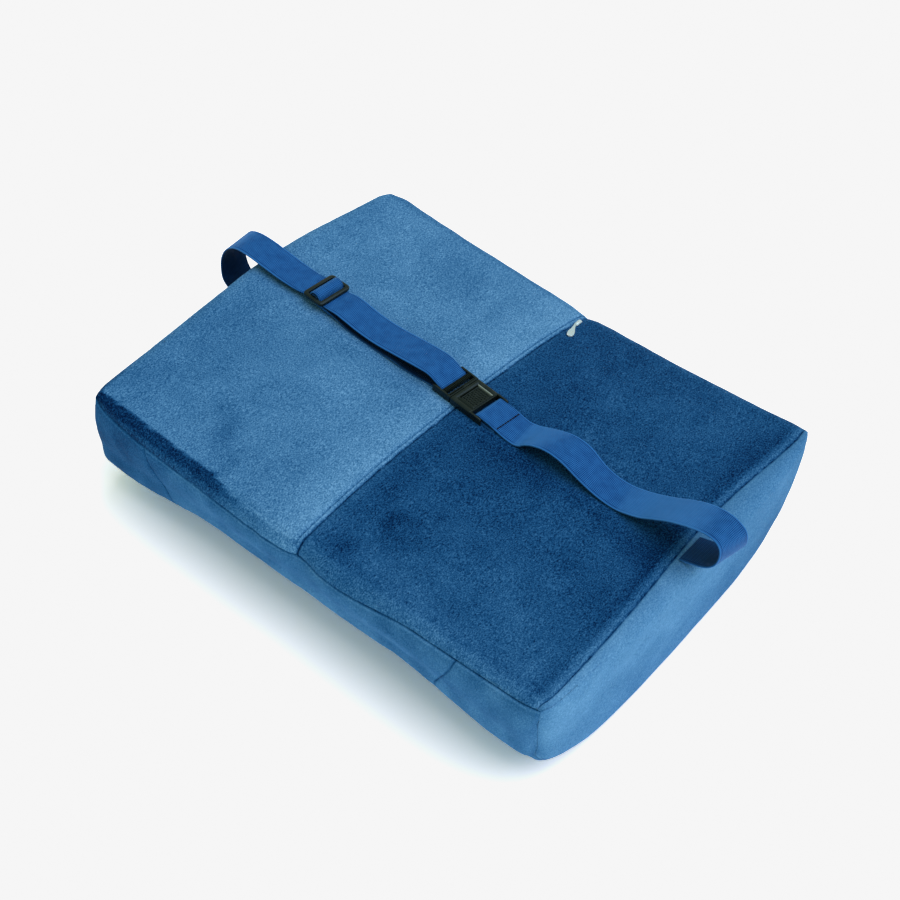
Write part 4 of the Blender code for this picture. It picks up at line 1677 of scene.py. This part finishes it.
@dataclass
class Buckle:
    """The press buckle: a plug half, a socket half and the pad that frees them."""

    half_width: float = 15.3
    half_height: float = 2.8
    wall: float = 1.6
    male_length: float = 18.0
    housing: float = 20.8
    female_length: float = 31.2
    pad_x: float = 12.0
    pad_half: tuple[float, float] = (6.9, 9.3)
    pad_drop: float = 0.6
    pad_thick: float = 1.6
    ribs: int = 19
    grips: tuple[int, int] = (7, 5)

    def arm(self, name: str, side: float, root: float, tip: float) -> bpy.types.Object:
        """A side arm with a rounded, thinner tip.

        Args:
            name: the object's name.
            side: -1 for the near side and 1 for the far one.
            root: where it starts along the buckle, in millimetres.
            tip: where it ends.

        Returns:
            The arm.
        """
        y = side * (self.half_width - self.wall / 2 - 0.02)
        middle, half, outward = (root + tip) / 2, abs(tip - root) / 2, math.copysign(1, tip - root)
        foot = -self.half_height + 0.02
        stages = ((0.0, 0.0, foot), (0.0, 0.0, 1.5), (0.45, 0.0, 2.2), (1.1, 0.12, 2.72))
        sections = [
            Section(half - back / 2, self.wall / 2 - thin, z, middle - outward * back / 2, y)
            for back, thin, z in stages
        ]
        return Moulding(name, sections, corner=0.55, segments=3).build()

    def finish(self, obj: bpy.types.Object, width: float) -> None:
        """Round an object's edges and set it down in the buckle's place.

        Args:
            obj: the object.
            width: how wide the rounding is, in metres.
        """
        apply(obj, "BEVEL", width=width, segments=2, limit_method="ANGLE", angle_limit=math.radians(40))
        smooth(obj, 40)
        set_down(obj, BUCKLE_PLACE, BUCKLE_TURN)

    def copies(
        self, obj: bpy.types.Object, spots: Sequence[tuple[float, float]]
    ) -> list[bpy.types.Object]:
        """Copy an object to spots on the buckle.

        Args:
            obj: the object, modelled about its own middle.
            spots: how far along and across the buckle each copy is, in millimetres.

        Returns:
            The copies.
        """
        turn = Matrix.Rotation(BUCKLE_TURN, 3, "Z")
        places = [BUCKLE_PLACE + turn @ Vector((u, v, 0)) * MM for u, v in spots]
        return repeat(obj, [(place, BUCKLE_TURN) for place in places])

    def crossbar(self, name: str, near: float, far: float, low: float, high: float) -> bpy.types.Object:
        """A bar from one arm of the buckle to the other.

        Args:
            name: the object's name.
            near: where its nearer side is along the buckle, in millimetres.
            far: where its other side is.
            low: the height of its underside.
            high: the height of its top.

        Returns:
            The bar.
        """
        reach = self.half_width - self.wall + 0.8
        return slab(name, (near, -reach, low), (far, reach, high))

    def plug(self, dresser: Dresser) -> None:
        """Build the plug half: its end plate, arms, loop bar and ribbed bar.

        Args:
            dresser: what gives the pieces their material and body.
        """
        y, z, inner = self.half_width, self.half_height, self.half_width - self.wall
        plate = Moulding(
            "plug_half",
            (
                Section(1.425, y, -z, -1.575),
                Section(1.425, y, z - 0.35, -1.575),
                Section(1.05, y - 0.4, z, -1.575),
            ),
        ).build()
        cut(plate, [slab("groove", (-2.0, -inner + 0.8, z - 0.45), (-1.45, inner - 0.8, z + 1))])
        parts = [self.arm("arm", side, -2.9, -self.male_length) for side in (-1, 1)]
        parts.append(self.crossbar("loop_bar", LOOP_BAR - 1.4, LOOP_BAR + 1.4, -1, 1))
        parts.append(self.crossbar("ribbed_bar", -9.8, -6.0, -1, z - 1.3))
        cut(plate, parts, "UNION")
        self.finish(plate, 0.00028)
        rib = Moulding(
            "rib",
            (
                Section(1.75, 0.40, z - 1.55),
                Section(1.75, 0.38, z - 0.75),
                Section(1.60, 0.18, z - 0.45),
            ),
        ).build()
        pitch = 2 * inner / self.ribs
        ribs = self.copies(rib, [(-7.9, -inner + (i + 0.5) * pitch) for i in range(self.ribs)])
        dresser.dress(join([plate, *ribs], "plug_half"), Plastic(), stands_for=["buckle_male"])

    def socket(self, dresser: Dresser) -> None:
        """Build the socket half: a housing with a rimmed window, two arms and an end bar.

        Args:
            dresser: what gives the pieces their material and body.
        """
        y, z = self.half_width, self.half_height
        middle, half = (0.15 + self.housing) / 2, (self.housing - 0.15) / 2
        window_x, window_y = self.pad_half[0] + 0.45, self.pad_half[1] + 0.45
        floor = z - self.pad_drop - self.pad_thick - 1.2 - 0.6
        x = self.pad_x
        housing = Moulding(
            "socket_half",
            (
                Section(half, y, -z, middle),
                Section(half, y, z - 0.7, middle),
                Section(half - 0.55, y - 0.8, z - 0.05, middle),
                Section(window_x + 1.25, window_y + 2.6, z, x - 0.4),
                Section(window_x + 0.85, window_y + 1.7, z - 0.55, x - 0.1),
                Section(window_x + 0.65, window_y + 1.2, z - 0.50, x),
                Section(window_x + 0.50, window_y + 0.80, z + 0.20, x),
                Section(window_x + 0.12, window_y + 0.15, z + 0.20, x),
                Section(window_x, window_y, z - 0.35, x),
                Section(window_x, window_y, floor, x),
            ),
            corner=0.7,
            segments=3,
        ).build()
        parts = [self.arm("arm", side, self.housing - 0.5, self.female_length) for side in (-1, 1)]
        parts.append(self.crossbar("end_bar", END_BAR - 1.3, END_BAR + 1.3, -1, 1))
        cut(housing, parts, "UNION")
        self.paint_window_glint(housing)
        self.finish(housing, 0.00022)
        dresser.dress(housing, Plastic(), stands_for=["buckle_female"])

    def paint_window_glint(self, housing: bpy.types.Object) -> None:
        """Note on the housing's mesh the far edge of its window, where a painted highlight goes.

        Args:
            housing: the socket half.
        """
        half_x, half_y = self.pad_half
        rub = []
        for v in housing.data.vertices:
            along, across, height = v.co / MM
            on_edge = half_y + 0.4 < across < half_y + 1.4 and abs(along - self.pad_x) < half_x + 0.6
            rub.append(1.0 if on_edge and height > self.half_height - 0.6 else 0.0)
        housing.data.attributes.new("rub", "FLOAT", "POINT").data.foreach_set("value", rub)

    def pad(self, dresser: Dresser) -> None:
        """Build the press pad with its rows of raised grips.

        Args:
            dresser: what gives the pieces their material and body.
        """
        x, (half_x, half_y), top = self.pad_x, self.pad_half, self.half_height - self.pad_drop
        pad = Moulding(
            "press_pad",
            (
                Section(half_x, half_y, top - self.pad_thick, x),
                Section(half_x, half_y, top - 0.45, x),
                Section(half_x - 0.45, half_y - 0.45, top - 0.05, x),
                Section(half_x - 1.00, half_y - 1.00, top - 0.15, x),
                Section(half_x - 1.30, half_y - 1.30, top - 0.65, x),
            ),
            corner=0.9,
            segments=3,
        ).build()
        smooth(pad, 40)
        set_down(pad, BUCKLE_PLACE, BUCKLE_TURN)
        grip = Moulding(
            "grip",
            (
                Section(0.56, 0.56, top - 0.80),
                Section(0.54, 0.54, top - 0.22),
                Section(0.28, 0.30, top + 0.06),
            ),
            corner=0.22,
            segments=2,
        ).build()
        smooth(grip, 50)
        rows, columns = self.grips
        spots = []
        for row in range(rows):
            stagger = 0.55 if row % 2 else -0.55
            for column in range(columns):
                spots.append((x + (column - columns // 2) * 2.2 + stagger, (row - rows // 2) * 2.15))
        grips = self.copies(grip, spots)
        dresser.dress(join([pad, *grips], "press_pad"), Plastic(), BUTTON_BODY, ["buckle_button"])

    def dress(self, dresser: Dresser) -> None:
        """Build the whole buckle.

        Args:
            dresser: what gives the pieces their material and body.
        """
        self.plug(dresser)
        self.socket(dresser)
        self.pad(dresser)


@dataclass
class Zip:
    """The closed zip in the seam between the back panels.

    Attributes:
        cushion: the cushion that it is in.
        half_run: half the length of the row of teeth, in millimetres.
        pitch: the distance between its teeth.
        slant: how far each tooth is turned, in radians, one way and then the other.
        coil_depth: how far the teeth lie under the face, in metres.
        runner_y: where the slider body is across the cushion, in millimetres.
        drop: the puller's outline, as how far along it and half how wide, in millimetres.
    """

    cushion: Cushion
    half_run: float = 128.0
    pitch: float = 1.5
    slant: float = 0.25
    coil_depth: float = 0.0030
    runner_y: float = 147.2
    drop: tuple[tuple[float, float], ...] = (
        (-3.0, 1.05),
        (-5.5, 1.3),
        (-8.5, 2.1),
        (-11.0, 2.65),
        (-13.5, 2.7),
        (-15.4, 2.1),
        (-16.5, 1.0),
    )

    def coil(self, dresser: Dresser) -> None:
        """Build the row of teeth along the seam.

        Args:
            dresser: what gives the pieces their material and body.
        """
        tooth = Moulding(
            "tooth",
            (
                Section(1.05, 0.50, -0.40),
                Section(1.15, 0.55, 0.00),
                Section(0.80, 0.34, 0.32),
            ),
        ).build()
        spots = []
        for i in range(int(2 * self.half_run / self.pitch)):
            y = (-self.half_run + (i + 0.5) * self.pitch) * MM
            x = self.cushion.zip_seam_x(y)
            z = self.cushion.face_height(x, y) - self.coil_depth
            spots.append((Vector((x, y, z)), self.slant if i % 2 else -self.slant))
        dresser.dress(join(repeat(tooth, spots), "zip_coil"), ZipCoil(), stands_for=["zip_teeth"])

    def seat(self) -> Vector:
        """The place on the cushion that the slider body lies over.

        Returns:
            The place, from the middle of the back face.
        """
        y = self.runner_y * MM
        x = self.cushion.zip_seam_x(y) + 0.0022
        return Vector((x, y, self.cushion.face_height(x, y)))

    def runner(self, dresser: Dresser) -> None:
        """Build the slider body on the coil.

        Args:
            dresser: what gives the pieces their material and body.
        """
        body = Moulding(
            "zip_runner",
            (
                Section(1.3, 3.4, 0.0),
                Section(1.7, 3.8, 0.45),
                Section(1.6, 3.6, 1.1),
                Section(0.9, 2.6, 1.7),
                Section(0.5, 1.7, 1.9),
            ),
            corner=0.9,
        ).build()
        smooth(body, 60)
        set_down(body, self.seat() + Vector((0, 0, 0.0006)))
        dresser.dress(body, ZipMetal(), stands_for=["zip_slider"])

    def puller(self, dresser: Dresser) -> None:
        """Build the drop-shaped puller, drawn out from a short edge, stage by stage.

        Args:
            dresser: what gives the pieces their material and body.
        """
        deselect()
        bpy.ops.mesh.primitive_plane_add(size=1, location=(0, 0.2 * MM, 0))
        blade = bpy.context.object
        blade.name = "zip_blade"
        blade.scale = (1.7 * MM, 0.8 * MM, 1)
        bpy.ops.object.transform_apply(location=True, rotation=True, scale=True)
        bpy.ops.object.mode_set(mode="EDIT")
        mesh = bmesh.from_edit_mesh(blade.data)
        for v in mesh.verts:
            v.select_set(v.co.y < 0)
        mesh.select_flush(True)
        bmesh.update_edit_mesh(blade.data)
        width, place = 0.85, -0.2
        for along, half in self.drop:
            step = (0, (along - place) * MM, 0)
            bpy.ops.mesh.extrude_region_move(TRANSFORM_OT_translate={"value": step})
            bpy.ops.transform.resize(value=(half / width, 1, 1), center_override=(0, along * MM, 0))
            width, place = half, along
        bpy.ops.object.mode_set(mode="OBJECT")
        apply(blade, "SOLIDIFY", thickness=0.0008, offset=0.0)
        apply(blade, "BEVEL", width=0.0002, segments=2, limit_method="ANGLE", angle_limit=math.radians(50))
        apply(blade, "SUBSURF", levels=1, render_levels=1)
        smooth(blade, 60)
        hinge = self.seat() + Vector((0, -0.0044, 0.0016))
        set_down(blade, hinge, math.radians(19), math.radians(-8))
        dresser.dress(blade, ZipMetal(), stands_for=["zip_puller"])

    def dress(self, dresser: Dresser) -> None:
        """Build the teeth, the slider body and its puller.

        Args:
            dresser: what gives the pieces their material and body.
        """
        self.coil(dresser)
        self.runner(dresser)
        self.puller(dresser)


# The stage


@dataclass
class Stage:
    """The pale floor, a wide soft light from overhead, and the camera at the photograph's angle."""

    eye: Vector = field(default_factory=lambda: Vector((0.48302, -0.72371, 0.97397)))
    target: Vector = field(default_factory=lambda: Vector((0.02801, -0.0321, 0.106)))
    roll: float = math.radians(7.5593)
    lens: float = 67.046
    sun_from: Vector = field(default_factory=lambda: Vector((0.34, 0.16, 1.0)))
    sun_strength: float = 2.02
    sun_angle: float = math.radians(62)
    sun_colour: Colour = (0.867, 0.800, 1.02)
    sky: float = 0.50
    sky_colour: Colour = (1.0, 1.085, 0.80)
    white: float = 0.92
    floor_size: float = 60.0
    floor_colour: Colour = (1.64, 1.64, 1.64)

    def floor(self) -> None:
        """Lay the floor."""
        deselect()
        bpy.ops.mesh.primitive_plane_add(size=self.floor_size, location=(0, 0, 0))
        floor = bpy.context.object
        floor.name = "floor"
        graph = Graph.start("floor")
        grain = graph.noise(40, 2.0)
        finish = {"Base Color": (*self.floor_colour, 1.0), "Roughness": 0.9 + grain * 0.05}
        floor.data.materials.append(graph.surface(finish))

    def light(self) -> None:
        """Set the sky and the soft sun."""
        world = bpy.data.worlds.new("studio")
        world.use_nodes = True
        sky = world.node_tree.nodes["Background"].inputs
        sky["Color"].default_value = (*self.sky_colour, 1.0)
        sky["Strength"].default_value = self.sky
        bpy.context.scene.world = world
        sun = bpy.data.lights.new("soft_sun", "SUN")
        sun.energy = self.sun_strength
        sun.angle = self.sun_angle
        sun.color = self.sun_colour
        lamp = bpy.data.objects.new("soft_sun", sun)
        lamp.rotation_euler = self.sun_from.to_track_quat("Z", "Y").to_euler()
        lamp.location = self.sun_from * 2
        bpy.context.scene.collection.objects.link(lamp)

    def camera(self) -> None:
        """Place the camera."""
        data = bpy.data.cameras.new("camera")
        data.lens = self.lens
        data.sensor_width = 36
        camera = bpy.data.objects.new("camera", data)
        camera.location = self.eye
        turn = (self.target - self.eye).to_track_quat("-Z", "Y").to_matrix().to_4x4()
        camera.rotation_euler = (turn @ Matrix.Rotation(self.roll, 4, "Z")).to_euler()
        bpy.context.scene.collection.objects.link(camera)
        bpy.context.scene.camera = camera

    def paper(self) -> None:
        """Show the floor as an even paper white, which its light runs past."""
        settings = bpy.context.scene.view_settings
        settings.view_transform = "Standard"
        settings.use_curve_mapping = True
        curve = settings.curve_mapping.curves[3]
        curve.points[1].location = (1.0, self.white)
        curve.points.new(self.white, self.white)
        for point in curve.points:
            point.handle_type = "VECTOR"
        settings.curve_mapping.update()

    def build(self) -> None:
        """Set the whole stage."""
        self.floor()
        self.light()
        self.camera()
        self.paper()


def main() -> None:
    """Load the frame, build and dress every piece, and set the stage."""
    logging.basicConfig(level=logging.INFO, format="%(message)s")
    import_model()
    dresser = Dresser()
    cushion = Cushion()
    cushion.dress(dresser)
    Straps().dress(dresser)
    Slider().dress(dresser)
    Buckle().dress(dresser)
    Zip(cushion).dress(dresser)
    Stage().build()


if __name__ == "__main__":
    main()
